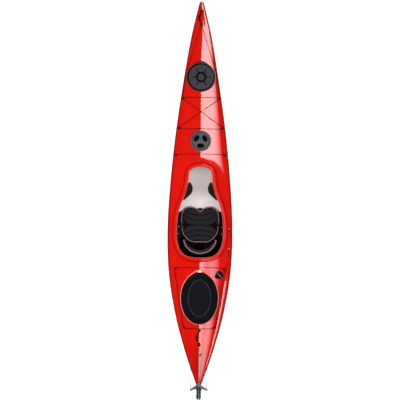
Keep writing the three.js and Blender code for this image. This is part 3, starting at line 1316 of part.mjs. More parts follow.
// Security point: a plate that follows the deck, with a bent bar over it
function addSecurityBar() {
  const corners = Array.from({ length: SECURITY_CORNERS * 3 }, (_, i) => {
    const angle = (2 * Math.PI * i) / (SECURITY_CORNERS * 3) + Math.PI / 2;
    const reach = i % 3 === 0 ? SECURITY_RADIUS : SECURITY_RADIUS * SECURITY_SIDE_SHARE;
    return point(SECURITY_X + reach * Math.cos(angle), SECURITY_Y - reach * Math.sin(angle), 0);
  });
  const slab = prism(corners, 0, ceiling).intersect(overDeck.translate(0, 0, SECURITY_PLATE));
  const offsets = [[1, 0], [1, 1], [SECURITY_BEND_SHARE, 1], [-SECURITY_BEND_SHARE, 1], [-1, 1], [-1, 0]];
  const crest = deckTop(SECURITY_X, SECURITY_Y) + SECURITY_BAR_RISE;
  const path = offsets.map(([along, up]) => {
    const x = SECURITY_X + SECURITY_BAR_REACH * along;
    const y = SECURITY_Y + SECURITY_BAR_REACH * along;
    const foot = deckTop(x, y) + SECURITY_PLATE / 2;
    return point(x, y, up ? crest : foot);
  });
  path[1].lerp(path[2], 1 / 4);
  path[4].lerp(path[3], 1 / 4);
  const bar = solidOf(tube(path, () => SECURITY_BAR_RADIUS, CORD_SIDES));
  addPiece('security_bar', geometryOf(slab.add(bar).subtract(overDeck)), STEEL);
}

// Rudder lift: a knob slides along a straight track beside the cockpit and draws a line aft
function trackLine(y) {
  const front = deckTop(TRACK_X, TRACK_FRONT_Y);
  const rear = deckTop(TRACK_X, TRACK_REAR_Y);
  return THREE.MathUtils.lerp(front, rear, (TRACK_FRONT_Y - y) / (TRACK_FRONT_Y - TRACK_REAR_Y));
}

function addLiftControl() {
  const half = TRACK_WIDTH / 2;
  const ends = [TRACK_FRONT_Y, TRACK_REAR_Y].map((y) => [
    point(TRACK_X - half, y, formNear(y).sheer),
    point(TRACK_X + half, y, formNear(y).sheer),
    point(TRACK_X + half, y, trackLine(y) + TRACK_HEIGHT),
    point(TRACK_X - half, y, trackLine(y) + TRACK_HEIGHT),
  ]);
  const slotEnds = [KNOB_Y + TRACK_SLOT, KNOB_Y - KNOB_TRAVEL - TRACK_SLOT];
  const slot = box(
    TRACK_SLOT, slotEnds[0] - slotEnds[1], ceiling, TRACK_X, (slotEnds[0] + slotEnds[1]) / 2, ceiling / 2,
  );
  const track = solidOf(loft(ends)).subtract(overDeck).subtract(slot);
  addPiece('lift_track', geometryOf(track), PLASTIC_BLACK);
  const seat = trackLine(KNOB_Y) + TRACK_HEIGHT + CLEARANCE * 2;
  const knob = turned([
    [0, KNOB_STEM_LIFT - TRACK_HEIGHT], [KNOB_STEM_RADIUS, KNOB_STEM_LIFT - TRACK_HEIGHT],
    [KNOB_STEM_RADIUS, 0], [KNOB_RADIUS * KNOB_WAIST_SHARE, 0], [KNOB_RADIUS, KNOB_HEIGHT / 2],
    [KNOB_RADIUS * KNOB_WAIST_SHARE, KNOB_HEIGHT], [0, KNOB_HEIGHT],
  ], FITTING_STEPS);
  addPiece('lift_knob', knob.translate(TRACK_X, KNOB_Y, seat), PLASTIC_BLACK);
  const end = fittingAt('aft_fitting_2_right');
  const gap = THIN_CORD_RADIUS + CLEARANCE;
  const line = LIFT_LINE_SHARES.map((share, i) => {
    const y = THREE.MathUtils.lerp(TRACK_REAR_Y, end.y, share);
    return onDeck(STERN_HATCH_HALF_WIDTH + LIFT_LINE_SPREADS[i], y, THIN_CORD_RADIUS, 0);
  });
  const start = point(TRACK_X, TRACK_REAR_Y - CLEARANCE, trackLine(TRACK_REAR_Y) + TRACK_HEIGHT / 2);
  const stop = onDeck(end.x + FITTING_RADIUS + gap, end.y + gap, THIN_CORD_RADIUS, 0);
  const path = [start, start.clone().setY(start.y - TRACK_HEIGHT), ...line, stop];
  addPiece('lift_line', tube(path, () => THIN_CORD_RADIUS, CORD_SIDES), CORD_DARK);
}

const sternDeck = deckTop(0, STERN_Y);
const pivotHeight = sternDeck + PIVOT_LIFT;
const bracketTop = formNear(STERN_Y).sheer - STRIP_HEIGHT / 2 - BRACKET_DROP;
const yokeBottom = sternDeck + YOKE_LIFT;
const headBottom = yokeBottom + YOKE_THICKNESS + CLEARANCE;

function upright(radius, low, high, y) {
  const profile = [[0, low], [radius, low], [radius, high], [0, high]];
  return solidOf(turned(profile, HATCH_STEPS / 2).translate(0, y, 0));
}

// Bracket on the stern with two lugs that hold the rudder's pin
function addBracket() {
  const plateY = STERN_Y - CLEARANCE - BRACKET_PLATE / 2;
  const plateZ = bracketTop - BRACKET_HEIGHT / 2;
  let bracket = box(BRACKET_WIDTH, BRACKET_PLATE, BRACKET_HEIGHT, 0, plateY, plateZ);
  for (const top of [bracketTop, bracketTop - BRACKET_HEIGHT + BRACKET_LUG]) {
    const arm = STERN_Y - CLEARANCE - PIN_Y;
    bracket = bracket.add(box(
      BRACKET_WIDTH, arm, BRACKET_LUG, 0, STERN_Y - CLEARANCE - arm / 2, top - BRACKET_LUG / 2,
    ));
    bracket = bracket.add(upright(BRACKET_WIDTH / 2, top - BRACKET_LUG, top, PIN_Y));
  }
  const bore = upright(PIN_RADIUS + CLEARANCE, bracketTop - BRACKET_HEIGHT * 2, ceiling, PIN_Y);
  addPiece('stern_bracket', geometryOf(bracket.subtract(bore)), PLASTIC_BLACK);
}

// Rudder head: pin, sleeve and two cheeks with the blade's bolt between them
function addRudder() {
  const cheekTop = pivotHeight + HEAD_CHEEK * 2;
  const slot = BLADE_THICKNESS / 2 + CLEARANCE;
  const frontY = PIN_Y - SLEEVE_RADIUS;
  const cheekDepth = frontY - HEAD_REAR_Y;
  const webTop = pivotHeight - BLADE_CHORD * BLADE_UNDER_SHARE - CLEARANCE * 4;
  let head = upright(PIN_RADIUS, bracketTop - BRACKET_HEIGHT - BRACKET_DROP, webTop, PIN_Y);
  head = head.add(upright(SLEEVE_RADIUS, bracketTop + CLEARANCE, webTop, PIN_Y));
  head = head.add(box(
    HEAD_WIDTH, SLEEVE_RADIUS + WEB_REACH, webTop - headBottom,
    0, PIN_Y - (SLEEVE_RADIUS + WEB_REACH) / 2, (webTop + headBottom) / 2,
  ));
  for (const side of [-1, 1]) {
    const x = side * (slot + HEAD_CHEEK / 2);
    const outline = [
      point(frontY + SLEEVE_RADIUS, headBottom, 0), point(HEAD_REAR_Y + HEAD_CHEEK, headBottom, 0),
      point(HEAD_REAR_Y, headBottom + HEAD_CHEEK, 0), point(HEAD_REAR_Y, cheekTop - HEAD_CHEEK * 2, 0),
      point(HEAD_REAR_Y + HEAD_CHEEK * 2, cheekTop, 0), point(PIVOT_Y + cheekDepth / 4, cheekTop, 0),
      point(frontY, webTop + HEAD_CHEEK, 0), point(frontY + SLEEVE_RADIUS, webTop, 0),
    ];
    head = head.add(prism(outline, x - HEAD_CHEEK / 2, x + HEAD_CHEEK / 2).rotate([90, 0, 90]));
  }
  const bolt = rod(PIVOT_RADIUS, HEAD_WIDTH, FITTING_STEPS).rotateZ(Math.PI / 2);
  head = head.add(solidOf(bolt.translate(0, PIVOT_Y, pivotHeight)));
  addPiece('rudder_head', geometryOf(head), PLASTIC_BLACK);

  const bladeOutline = BLADE_OUTLINE_SHARES.map(([along, across]) => (
    point(PIVOT_Y + BLADE_LENGTH * along, pivotHeight + BLADE_CHORD * across, 0)
  ));
  const sheet = prism(bladeOutline, -BLADE_THICKNESS / 2, BLADE_THICKNESS / 2).rotate([90, 0, 90]);
  const eye = rod(PIVOT_RADIUS + CLEARANCE, BLADE_THICKNESS * 2, FITTING_STEPS).rotateZ(Math.PI / 2);
  const blade = sheet.subtract(solidOf(eye.translate(0, PIVOT_Y, pivotHeight)));
  addPiece('rudder_blade', geometryOf(blade), ALUMINIUM);

  const rearY = YOKE_APEX_Y - YOKE_SWEEP - YOKE_ARM;
  const half = [
    point(0, YOKE_APEX_Y, 0), point(YOKE_HALF_SPAN, YOKE_APEX_Y - YOKE_SWEEP, 0),
    point(YOKE_HALF_SPAN + HEAD_CHEEK / 2, rearY, 0),
    point(YOKE_HALF_SPAN - YOKE_ARM, rearY + CLEARANCE, 0),
    point(SLEEVE_RADIUS * 3, rearY + YOKE_ARM, 0),
    point(SLEEVE_RADIUS, PIN_Y - SLEEVE_RADIUS - HEAD_CHEEK, 0),
  ];
  const sleeveBore = upright(SLEEVE_RADIUS + CLEARANCE, 0, ceiling, PIN_Y);
  const yoke = prism(mirrored(half), yokeBottom, yokeBottom + YOKE_THICKNESS).subtract(sleeveBore);
  addPiece('rudder_yoke', geometryOf(yoke), ALUMINIUM);
}

// A slanted rubber block on the ridge, which the stowed blade lies on
function addBladeRest() {
  const top = pivotHeight - BLADE_CHORD * BLADE_UNDER_SHARE - CLEARANCE;
  const height = top - formNear(REST_Y).sheer;
  const block = box(REST_LENGTH, REST_WIDTH, height, 0, 0, top - height / 2)
    .rotate([0, 0, REST_ANGLE_DEG]).translate(REST_OFFSET, REST_Y, 0);
  addPiece('blade_rest', geometryOf(block.subtract(overDeck)), FOAM_BLACK);
}

// Rudder cables from the foot rails to the yoke, each through an outlet in the hull's side
function cableEnd(side) {
  const exit = formNear(OUTLET_Y);
  const armY = YOKE_APEX_Y - YOKE_SWEEP * YOKE_CABLE_SHARE + CLEARANCE + CABLE_RADIUS;
  return [
    cablePoint(side, CABLE_RUN_REAR_Y),
    point(side * (exit.halfBeam + CABLE_RADIUS), OUTLET_Y, exit.sheer - CABLE_INSET),
    point(side * YOKE_HALF_SPAN * YOKE_CABLE_SHARE, armY, yokeBottom + YOKE_THICKNESS / 2),
  ];
}

function addCables() {
  for (const [suffix, side] of [['left', -1], ['right', 1]]) {
    const railEnd = railPoint(side, RAIL_REAR_Y).add(point(0, -RAIL_STANDOFF / 2, 0));
    const runs = Array.from({ length: CABLE_STEPS }, (_, i) => (
      cablePoint(side, THREE.MathUtils.lerp(CABLE_RUN_FRONT_Y, CABLE_RUN_REAR_Y, i / CABLE_STEPS))
    ));
    const path = [railEnd, railEnd.clone().add(point(0, -RAIL_BOSS_LENGTH, 0)), ...runs, ...cableEnd(side)];
    addPiece(`rudder_cable_${suffix}`, tube(path, () => CABLE_RADIUS, CORD_SIDES), STEEL);
    const sleeve = tube(cableEnd(side).slice(0, 2), () => OUTLET_RADIUS, CORD_SIDES);
    const bore = tube(cableEnd(side), () => CABLE_RADIUS + CLEARANCE, CORD_SIDES);
    const outlet = solidOf(sleeve).subtract(solidOf(bore)).subtract(hullBody)
      .subtract(hullBody.translate(side * CLEARANCE, 0, 0));
    addPiece(`cable_outlet_${suffix}`, geometryOf(outlet), PLASTIC_BLACK);
  }
}

for (const hatch of hatches) {
  addHatch(hatch, hatch.name === 'day_hatch' ? DAY_GREY : DECK_RED);
}
addShells();
addSeamStrip();
addCoaming();
addBulkheads();
addLids();
addPod();
addSeat();
addBackRest();
addHipPads();
addThighBraces();
addFootRests();
addFittings();
addCords();
addHandle('bow_handle', BOW_HANDLE_Y);
addHandle('stern_handle', STERN_HANDLE_Y);
addSecurityBar();
addLiftControl();
addBracket();
addRudder();
addBladeRest();
addCables();

export default model;
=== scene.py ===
"""Sea kayak: fine shells, hatches, soft goods, cords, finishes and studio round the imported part.

Metres, in the part's own frame: +Y to the bow, +X to starboard, +Z up, keel at Z = 0.
"""
import json
import logging
import math
from dataclasses import dataclass, field, replace
from enum import Enum
from typing import Callable, Sequence

import bmesh
import bpy
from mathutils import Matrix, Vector, noise
from mathutils.kdtree import KDTree

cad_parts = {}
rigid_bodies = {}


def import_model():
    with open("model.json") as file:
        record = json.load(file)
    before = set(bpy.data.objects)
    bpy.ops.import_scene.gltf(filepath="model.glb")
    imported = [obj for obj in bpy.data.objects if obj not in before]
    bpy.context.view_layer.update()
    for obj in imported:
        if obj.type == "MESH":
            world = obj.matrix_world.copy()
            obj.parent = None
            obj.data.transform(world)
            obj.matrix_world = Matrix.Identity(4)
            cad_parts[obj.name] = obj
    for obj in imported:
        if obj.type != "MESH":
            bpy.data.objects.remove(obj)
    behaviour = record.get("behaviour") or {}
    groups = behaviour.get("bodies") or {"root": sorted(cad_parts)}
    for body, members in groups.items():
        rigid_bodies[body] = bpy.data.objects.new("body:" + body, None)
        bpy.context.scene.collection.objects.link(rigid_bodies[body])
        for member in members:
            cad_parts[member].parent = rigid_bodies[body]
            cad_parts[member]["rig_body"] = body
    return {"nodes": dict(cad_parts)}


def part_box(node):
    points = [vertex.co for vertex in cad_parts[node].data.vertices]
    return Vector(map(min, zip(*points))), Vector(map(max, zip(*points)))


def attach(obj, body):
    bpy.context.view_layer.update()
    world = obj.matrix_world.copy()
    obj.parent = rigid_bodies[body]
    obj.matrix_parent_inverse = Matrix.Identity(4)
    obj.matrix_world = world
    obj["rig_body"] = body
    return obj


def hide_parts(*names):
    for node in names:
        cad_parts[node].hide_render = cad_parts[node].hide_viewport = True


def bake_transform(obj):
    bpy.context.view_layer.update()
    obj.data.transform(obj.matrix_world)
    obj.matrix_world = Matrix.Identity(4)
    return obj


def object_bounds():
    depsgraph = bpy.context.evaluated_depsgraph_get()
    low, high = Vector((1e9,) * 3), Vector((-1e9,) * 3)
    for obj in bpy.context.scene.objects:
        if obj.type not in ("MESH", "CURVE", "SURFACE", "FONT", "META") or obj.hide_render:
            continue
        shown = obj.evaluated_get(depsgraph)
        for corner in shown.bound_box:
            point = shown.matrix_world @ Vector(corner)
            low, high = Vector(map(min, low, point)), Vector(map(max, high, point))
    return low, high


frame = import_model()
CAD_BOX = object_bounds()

LOG = logging.getLogger("sea_kayak")
MM = 0.001
Ring = list[Vector]
Rows = Sequence[tuple[float, float]]
Bumps = Sequence[tuple[float, float, float]]
Faces = Sequence[Sequence[int]]
Relief = Callable[[float, float], float]
Piece = bpy.types.Object
Node = bpy.types.Node
Socket = bpy.types.NodeSocket
Tree = bpy.types.NodeTree

# How fine the meshes are, and when two places count as one

CURVE_FINENESS = 24
LEAST_KNOT = 1e-6
LEAST_SPAN = 1e-9
WELD = 1e-6
NODE_WELD = 1e-5
DECK_STEPS = 44
HULL_STEPS = 36
SHARP_DEG = 40.0
TUBE_SHARP_DEG = 50.0
BEVEL_FROM_DEG = 30

# The boat's form and fittings: sizes in metres, a share and powers

SEAM_REACH = 0.0033
SHELL_WALL = 0.004
MOST_WALL_SHARE = 0.4
SECTION_EASE = 1.5
POINT_NARROWNESS = 14
BOLT_RADIUS = 0.0045

# Values of the surface effects

COLOR_SOCKET = "NodeSocketColor"
FLOAT_SOCKET = "NodeSocketFloat"
CLOUD_ROUGHNESS = 0.55
POINTED_FROM = 0.53
POINTED_TO = 0.62
WORN_SCALE = 60.0
WORN_LIFT = 60
DUST_SCALE = 14.0
THREAD_SHADE = 0.6
BUMP_STRENGTH = 0.6


class Side(Enum):
    """The two sides of the boat, by the sign of X."""

    LEFT = -1
    RIGHT = 1

    @property
    def suffix(self) -> str:
        """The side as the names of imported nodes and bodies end."""
        return self.name.lower()


class Zone(Enum):
    """The three hatches, by their place along the boat."""

    BOW = "bow"
    DAY = "day"
    STERN = "stern"


def share_at(rows: Rows, at: float) -> float:
    """Reads a smooth value from rows of (share, value).

    Args:
        rows: the table, in rising order of share.
        at: the share to read at.

    Returns:
        The value, by a cubic between neighbouring rows.
    """
    last = len(rows) - 1
    i = 0
    while i < last - 1 and at > rows[i + 1][0]:
        i += 1

    def slope(k: int) -> float:
        """Slope at row k, across its neighbours."""
        low, high = rows[max(k - 1, 0)], rows[min(k + 1, last)]
        return (high[1] - low[1]) / (high[0] - low[0])

    (x0, y0), (x1, y1) = rows[i], rows[i + 1]
    span = x1 - x0
    t = min(max((at - x0) / span, 0.0), 1.0)
    flat = y0 == y1
    m0 = 0.0 if flat else slope(i) * span
    m1 = 0.0 if flat else slope(i + 1) * span
    t2, t3 = t * t, t * t * t
    return (2 * t3 - 3 * t2 + 1) * y0 + (t3 - 2 * t2 + t) * m0 + (3 * t2 - 2 * t3) * y1 + (t3 - t2) * m1


def mix(a: float, b: float, t: float) -> float:
    """The value a share t of the way from a to b."""
    return a + (b - a) * t


def smooth_step(low: float, high: float, at: float) -> float:
    """Rises smoothly from 0 at low to 1 at high."""
    t = min(max((at - low) / (high - low), 0.0), 1.0)
    return t * t * (3 - 2 * t)


def smooth_loop(corners: Sequence[Vector], steps: int, closed: bool = True) -> Ring:
    """Points at even spacing along a centripetal curve through corners.

    Args:
        corners: the points that the curve passes through.
        steps: how many points to give back.
        closed: whether the curve joins its own start.

    Returns:
        The points, the last one short of the first where closed.
    """
    count = len(corners)
    spans = count if closed else count - 1
    dense: Ring = []
    for i in range(spans):
        picks = [(i + k) % count if closed else min(max(i + k, 0), count - 1) for k in (-1, 0, 1, 2)]
        at = [corners[k] for k in picks]
        knots = [0.0]
        for a, b in zip(at, at[1:]):
            knots.append(knots[-1] + max(math.sqrt((b - a).length), LEAST_KNOT))
        for k in range(CURVE_FINENESS):
            t = mix(knots[1], knots[2], k / CURVE_FINENESS)
            dense.append(_on_span(at, knots, t))
    if not closed:
        dense.append(corners[-1].copy())
    return even_spacing(dense, steps, closed)


def _on_span(at: Sequence[Vector], knots: Sequence[float], t: float) -> Vector:
    """A point on one span of a centripetal curve through four points."""
    def between(a: Vector, b: Vector, low: float, high: float) -> Vector:
        """The point at knot t between two others."""
        return a.lerp(b, (t - low) / (high - low))

    a1 = between(at[0], at[1], knots[0], knots[1])
    a2 = between(at[1], at[2], knots[1], knots[2])
    a3 = between(at[2], at[3], knots[2], knots[3])
    b1 = between(a1, a2, knots[0], knots[2])
    b2 = between(a2, a3, knots[1], knots[3])
    return between(b1, b2, knots[1], knots[2])


def even_spacing(line: Sequence[Vector], steps: int, closed: bool) -> Ring:
    """Points at even spacing along a line of many points.

    Args:
        line: the points.
        steps: how many points to give back.
        closed: whether the line joins its own start.

    Returns:
        The evenly spaced points.
    """
    loop = [*line, line[0]] if closed else list(line)
    reach = [0.0]
    for a, b in zip(loop, loop[1:]):
        reach.append(reach[-1] + (b - a).length)
    wanted = [reach[-1] * i / (steps if closed else steps - 1) for i in range(steps)]
    found: Ring = []
    k = 0
    for at in wanted:
        while k < len(loop) - 2 and reach[k + 1] < at:
            k += 1
        span = max(reach[k + 1] - reach[k], LEAST_SPAN)
        found.append(loop[k].lerp(loop[k + 1], min((at - reach[k]) / span, 1.0)))
    return found


def outward(loop: Sequence[Vector], i: int) -> Vector:
    """The direction out of a closed plan outline at one of its points."""
    along = (loop[(i + 1) % len(loop)] - loop[i - 1]).to_2d().normalized()
    area = sum(p.x * q.y - q.x * p.y for p, q in zip(loop, [*loop[1:], loop[0]]))
    return Vector((along.y, -along.x, 0)) * math.copysign(1, area)


def moved_out(loop: Sequence[Vector], distance: float) -> Ring:
    """The outline moved out by a distance."""
    return [p + outward(loop, i) * distance for i, p in enumerate(loop)]


def half_outline(rows: Rows, half_width: float, length: float, rear_y: float, steps: int) -> Ring:
    """A closed plan outline from starboard shares.

    Args:
        rows: shares of the half width and of the length from the rear, from the front round to the rear.
        half_width: half the outline's width.
        length: its length along Y.
        rear_y: Y of its rear edge.
        steps: how many points to give back.

    Returns:
        The outline's points at Z = 0.
    """
    half = [Vector((a * half_width, rear_y + s * length, 0)) for a, s in rows]
    port = [Vector((-p.x, p.y, 0)) for p in reversed(half) if p.x > 0]
    return smooth_loop([*half, *port], steps)


def ridge(at: float, middle: float, spread: float) -> float:
    """A smooth bump of height 1 round a middle."""
    return math.exp(-((at - middle) / spread) ** 2)


def bumps(rows: Bumps, at: float) -> float:
    """The sum of smooth bumps, each a row of height, middle and spread."""
    return sum(height * ridge(at, middle, spread) for height, middle, spread in rows)


@dataclass(frozen=True)
class Form:
    """One station of the boat's form, in metres."""

    y: float
    half_beam: float
    sheer: float
    crown: float
    keel: float


@dataclass
class HullForm:
    """The boat's form: driving sizes, and shares of them along the length and round each section."""

    length: float = 3.66
    half_beam: float = 0.308
    sheer: float = 0.24
    crown: float = 0.112
    stem_rise: float = 0.25
    side_lip: float = 0.009
    beam_shares: Rows = (
        (0, 0.028), (0.003, 0.058), (0.0209, 0.11), (0.0733, 0.259), (0.1257, 0.381), (0.2304, 0.582),
        (0.3351, 0.757), (0.4398, 0.89), (0.5445, 0.98), (0.6178, 1), (0.6754, 0.979), (0.7277, 0.921),
        (0.7801, 0.8205), (0.8325, 0.691), (0.8848, 0.523), (0.9372, 0.328), (0.9738, 0.176), (1, 0.06),
    )
    sheer_shares: Rows = (
        (0, 1.35), (0.1, 1.21), (0.2, 1.115), (0.3, 1.045), (0.42, 1), (0.62, 0.95), (0.8, 0.985), (1, 1.09),
    )
    crown_shares: Rows = (
        (0, 0.11), (0.05, 0.2), (0.1, 0.34), (0.2, 0.6), (0.3, 0.83), (0.4, 1), (0.48, 0.88), (0.6, 0.66),
        (0.68, 0.55), (0.8, 0.46), (0.9, 0.32), (1, 0.14),
    )
    keel_shares: Rows = (
        (0, 1), (0.01, 0.72), (0.03, 0.42), (0.06, 0.24), (0.1, 0.13), (0.2, 0.03), (0.3, 0), (0.7, 0),
        (0.85, 0.05), (0.93, 0.14), (0.98, 0.3), (1, 0.42),
    )
    deck_section_shares: Rows = (
        (0, 1), (0.12, 0.925), (0.3, 0.78), (0.58, 0.56), (0.78, 0.35), (0.92, 0.15), (1, 0),
    )
    hull_section_shares: Rows = ((0, 0.25), (0.09, 0.66), (0.27, 0.9), (0.55, 0.985), (1, 1))
    bow_y: float = field(init=False)

    def __post_init__(self) -> None:
        """Takes the bow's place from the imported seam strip's front."""
        self.bow_y = CAD_BOX[1].y - SEAM_REACH

    def at(self, share: float) -> Form:
        """The station at a share of the length from the bow."""
        return Form(
            y=self.bow_y - self.length * share,
            half_beam=self.half_beam * share_at(self.beam_shares, share),
            sheer=self.sheer * share_at(self.sheer_shares, share),
            crown=self.crown * share_at(self.crown_shares, share),
            keel=self.stem_rise * max(0.0, share_at(self.keel_shares, share)),
        )

    def near(self, y: float) -> Form:
        """The station at a place along the boat."""
        return self.at(min(max((self.bow_y - y) / self.length, 0.0), 1.0))

    def deck(self, x: float, y: float) -> float:
        """Height of the deck's skin over a place in plan."""
        form = self.near(y)
        lip = min(self.side_lip, form.crown / 2)
        across = min(abs(x) / form.half_beam, 1.0)
        return form.sheer + lip + (form.crown - lip) * share_at(self.deck_section_shares, across)

    def on_deck(self, x: float, y: float, lift: float = 0.0) -> Vector:
        """A point on the deck, or a lift over it."""
        return Vector((x, y, self.deck(x, y) + lift))

    def deck_half(self, form: Form, steps: int) -> Ring:
        """Starboard half of a deck section, from the sheer up to the ridge."""
        lip = min(self.side_lip, form.crown / 2)
        ring = [Vector((form.half_beam, form.y, form.sheer))]
        for i in range(steps + 1):
            across = 1 - (i / steps)
            up = share_at(self.deck_section_shares, across)
            ring.append(Vector((form.half_beam * across, form.y, form.sheer + lip + (form.crown - lip) * up)))
        return ring

    def hull_half(self, form: Form, steps: int) -> Ring:
        """Starboard half of a hull section, from the sheer down to the keel."""
        depth = form.sheer - form.keel
        lip = min(self.side_lip, depth / 2)
        ring = [Vector((form.half_beam, form.y, form.sheer))]
        for i in range(steps + 1):
            up = (1 - i / steps) ** SECTION_EASE
            across = share_at(self.hull_section_shares, up)
            ring.append(Vector((form.half_beam * across, form.y, form.keel + (depth - lip) * up)))
        ring.append(Vector((0, form.y, form.keel)))
        return ring


def new_piece(name: str, points: Sequence[Vector], faces: Faces, body: str = "boat") -> Piece:
    """Makes a mesh piece that rides on a body.

    Args:
        name: the piece's name.
        points: its vertices in the part's frame.
        faces: vertex numbers of each face.
        body: the body that carries it.

    Returns:
        The new object, smooth shaded.
    """
    mesh = bpy.data.meshes.new(name)
    mesh.from_pydata([tuple(p) for p in points], [], [tuple(f) for f in faces])
    work = bmesh.new()
    work.from_mesh(mesh)
    bmesh.ops.remove_doubles(work, verts=work.verts, dist=WELD)
    bmesh.ops.recalc_face_normals(work, faces=work.faces)
    work.to_mesh(mesh)
    work.free()
    mesh.polygons.foreach_set("use_smooth", [True] * len(mesh.polygons))
    piece = bpy.data.objects.new(name, mesh)
    bpy.context.scene.collection.objects.link(piece)
    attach(piece, body)
    return piece


def crease(piece: Piece, angle: float = SHARP_DEG) -> Piece:
    """Keeps edges sharper than an angle in degrees sharp in the shading."""
    piece.data.set_sharp_from_angle(angle=math.radians(angle))
    return piece


def bridge(rings: Sequence[Ring], joined: bool = False) -> tuple[Ring, list[list[int]]]:
    """Joins closed rings of equal length into faces.

    Args:
        rings: the rings, one after another.
        joined: whether the last ring joins the first. Otherwise both are filled.

    Returns:
        The points and the faces.
    """
    count = len(rings[0])
    total = len(rings)
    points = [p for ring in rings for p in ring]
    faces: list[list[int]] = []
    for r in range(total if joined else total - 1):
        after = (r + 1) % total
        for i in range(count):
            j = (i + 1) % count
            faces.append([r * count + i, r * count + j, after * count + j, after * count + i])
    if not joined:
        faces.append(list(range(count)))
        faces.append([(total - 1) * count + i for i in range(count)])
    return points, faces


def tube(name: str, path: Sequence[Vector], radius: float | Callable[[float], float], body: str = "boat",
         sides: int = 12, closed: bool = False) -> Piece:
    """A round tube along a path.

    Args:
        name: the piece's name.
        path: the points it follows.
        radius: its radius, or a function of the share along it.
        body: the body that carries it.
        sides: how many sides it has.
        closed: whether it joins its own start.

    Returns:
        The piece.
    """
    last = len(path) - 1
    rings = []
    for i, p in enumerate(path):
        before = path[i - 1] if i or closed else p
        after = path[(i + 1) % len(path)] if i < last or closed else p
        along = (after - before).normalized()
        across = Vector((0, 0, 1)).cross(along)
        across = across.normalized() if across.length > WELD else Vector((1, 0, 0))
        up = along.cross(across)
        r = radius(i / max(last, 1)) if callable(radius) else radius
        turns = [2 * math.pi * k / sides for k in range(sides)]
        rings.append([p + (across * math.cos(turn) + up * math.sin(turn)) * r for turn in turns])
    return crease(new_piece(name, *bridge(rings, closed), body), TUBE_SHARP_DEG)


def bake_modifiers(piece: Piece) -> None:
    """Puts what a piece's modifiers show into its own mesh."""
    bpy.context.view_layer.update()
    shown = piece.evaluated_get(bpy.context.evaluated_depsgraph_get())
    mesh = bpy.data.meshes.new_from_object(shown)
    piece.modifiers.clear()
    piece.data = mesh


def drill(piece: Piece, cutters: Sequence[Piece]) -> None:
    """Cuts closed cutters out of a piece and removes them."""
    for cutter in cutters:
        cut = piece.modifiers.new("cut", "BOOLEAN")
        cut.operation = "DIFFERENCE"
        cut.solver = "EXACT"
        cut.object = cutter
    bake_modifiers(piece)
    for cutter in cutters:
        bpy.data.objects.remove(cutter)


def prism(name: str, outline: Sequence[Vector], low: float, high: float) -> Piece:
    """A closed upright prism over a plan outline, for cutting."""
    rings = [[Vector((p.x, p.y, z)) for p in outline] for z in (low, high)]
    return new_piece(name, *bridge(rings))


def linear(red: int, green: int, blue: int) -> tuple[float, float, float, float]:
    """A screen colour of 0 to 255 as the linear colour that a shader takes, by the sRGB formula."""
    def one(value: int) -> float:
        """One channel of it."""
        v = value / 255
        return v / 12.92 if v <= 0.04045 else ((v + 0.055) / 1.055) ** 2.4

    return one(red), one(green), one(blue), 1.0


class Effect(Enum):
    """Surface effects that several materials share, each one shader node group."""

    MOTTLE = "mottle"
    GRAIN = "grain"
    WEAVE = "weave"
    WORN_EDGE = "worn_edge"
    DUST = "dust"


class Wiring:
    """Adds nodes to one node tree and joins them."""

    def __init__(self, tree: Tree) -> None:
        """Keeps the tree."""
        self.tree = tree

    def add(self, kind: str, **values: object) -> Node:
        """Adds a node.

        Args:
            kind: the node's type.
            values: its properties, and its inputs by name with spaces as underscores.

        Returns:
            The node.
        """
        node = self.tree.nodes.new(kind)
        for key, value in values.items():
            if hasattr(node, key):
                setattr(node, key, value)
            else:
                node.inputs[key.replace("_", " ")].default_value = value
        return node

    def join(self, source: Socket, target: Socket) -> None:
        """Joins an output to an input."""
        self.tree.links.new(source, target)

    def maths(self, operation: str, first: object, second: object) -> Socket:
        """The result of a maths node on two sockets or numbers."""
        node = self.add("ShaderNodeMath", operation=operation)
        for i, value in enumerate((first, second)):
            if isinstance(value, Socket):
                self.join(value, node.inputs[i])
            else:
                node.inputs[i].default_value = value
        return node.outputs[0]

    def blend(self, share: object, first: object, second: object) -> Socket:
        """A colour a share of the way from the first to the second."""
        node = self.add("ShaderNodeMix", data_type="RGBA")
        for i, value in ((0, share), (6, first), (7, second)):
            if isinstance(value, Socket):
                self.join(value, node.inputs[i])
            else:
                node.inputs[i].default_value = value
        return node.outputs[2]


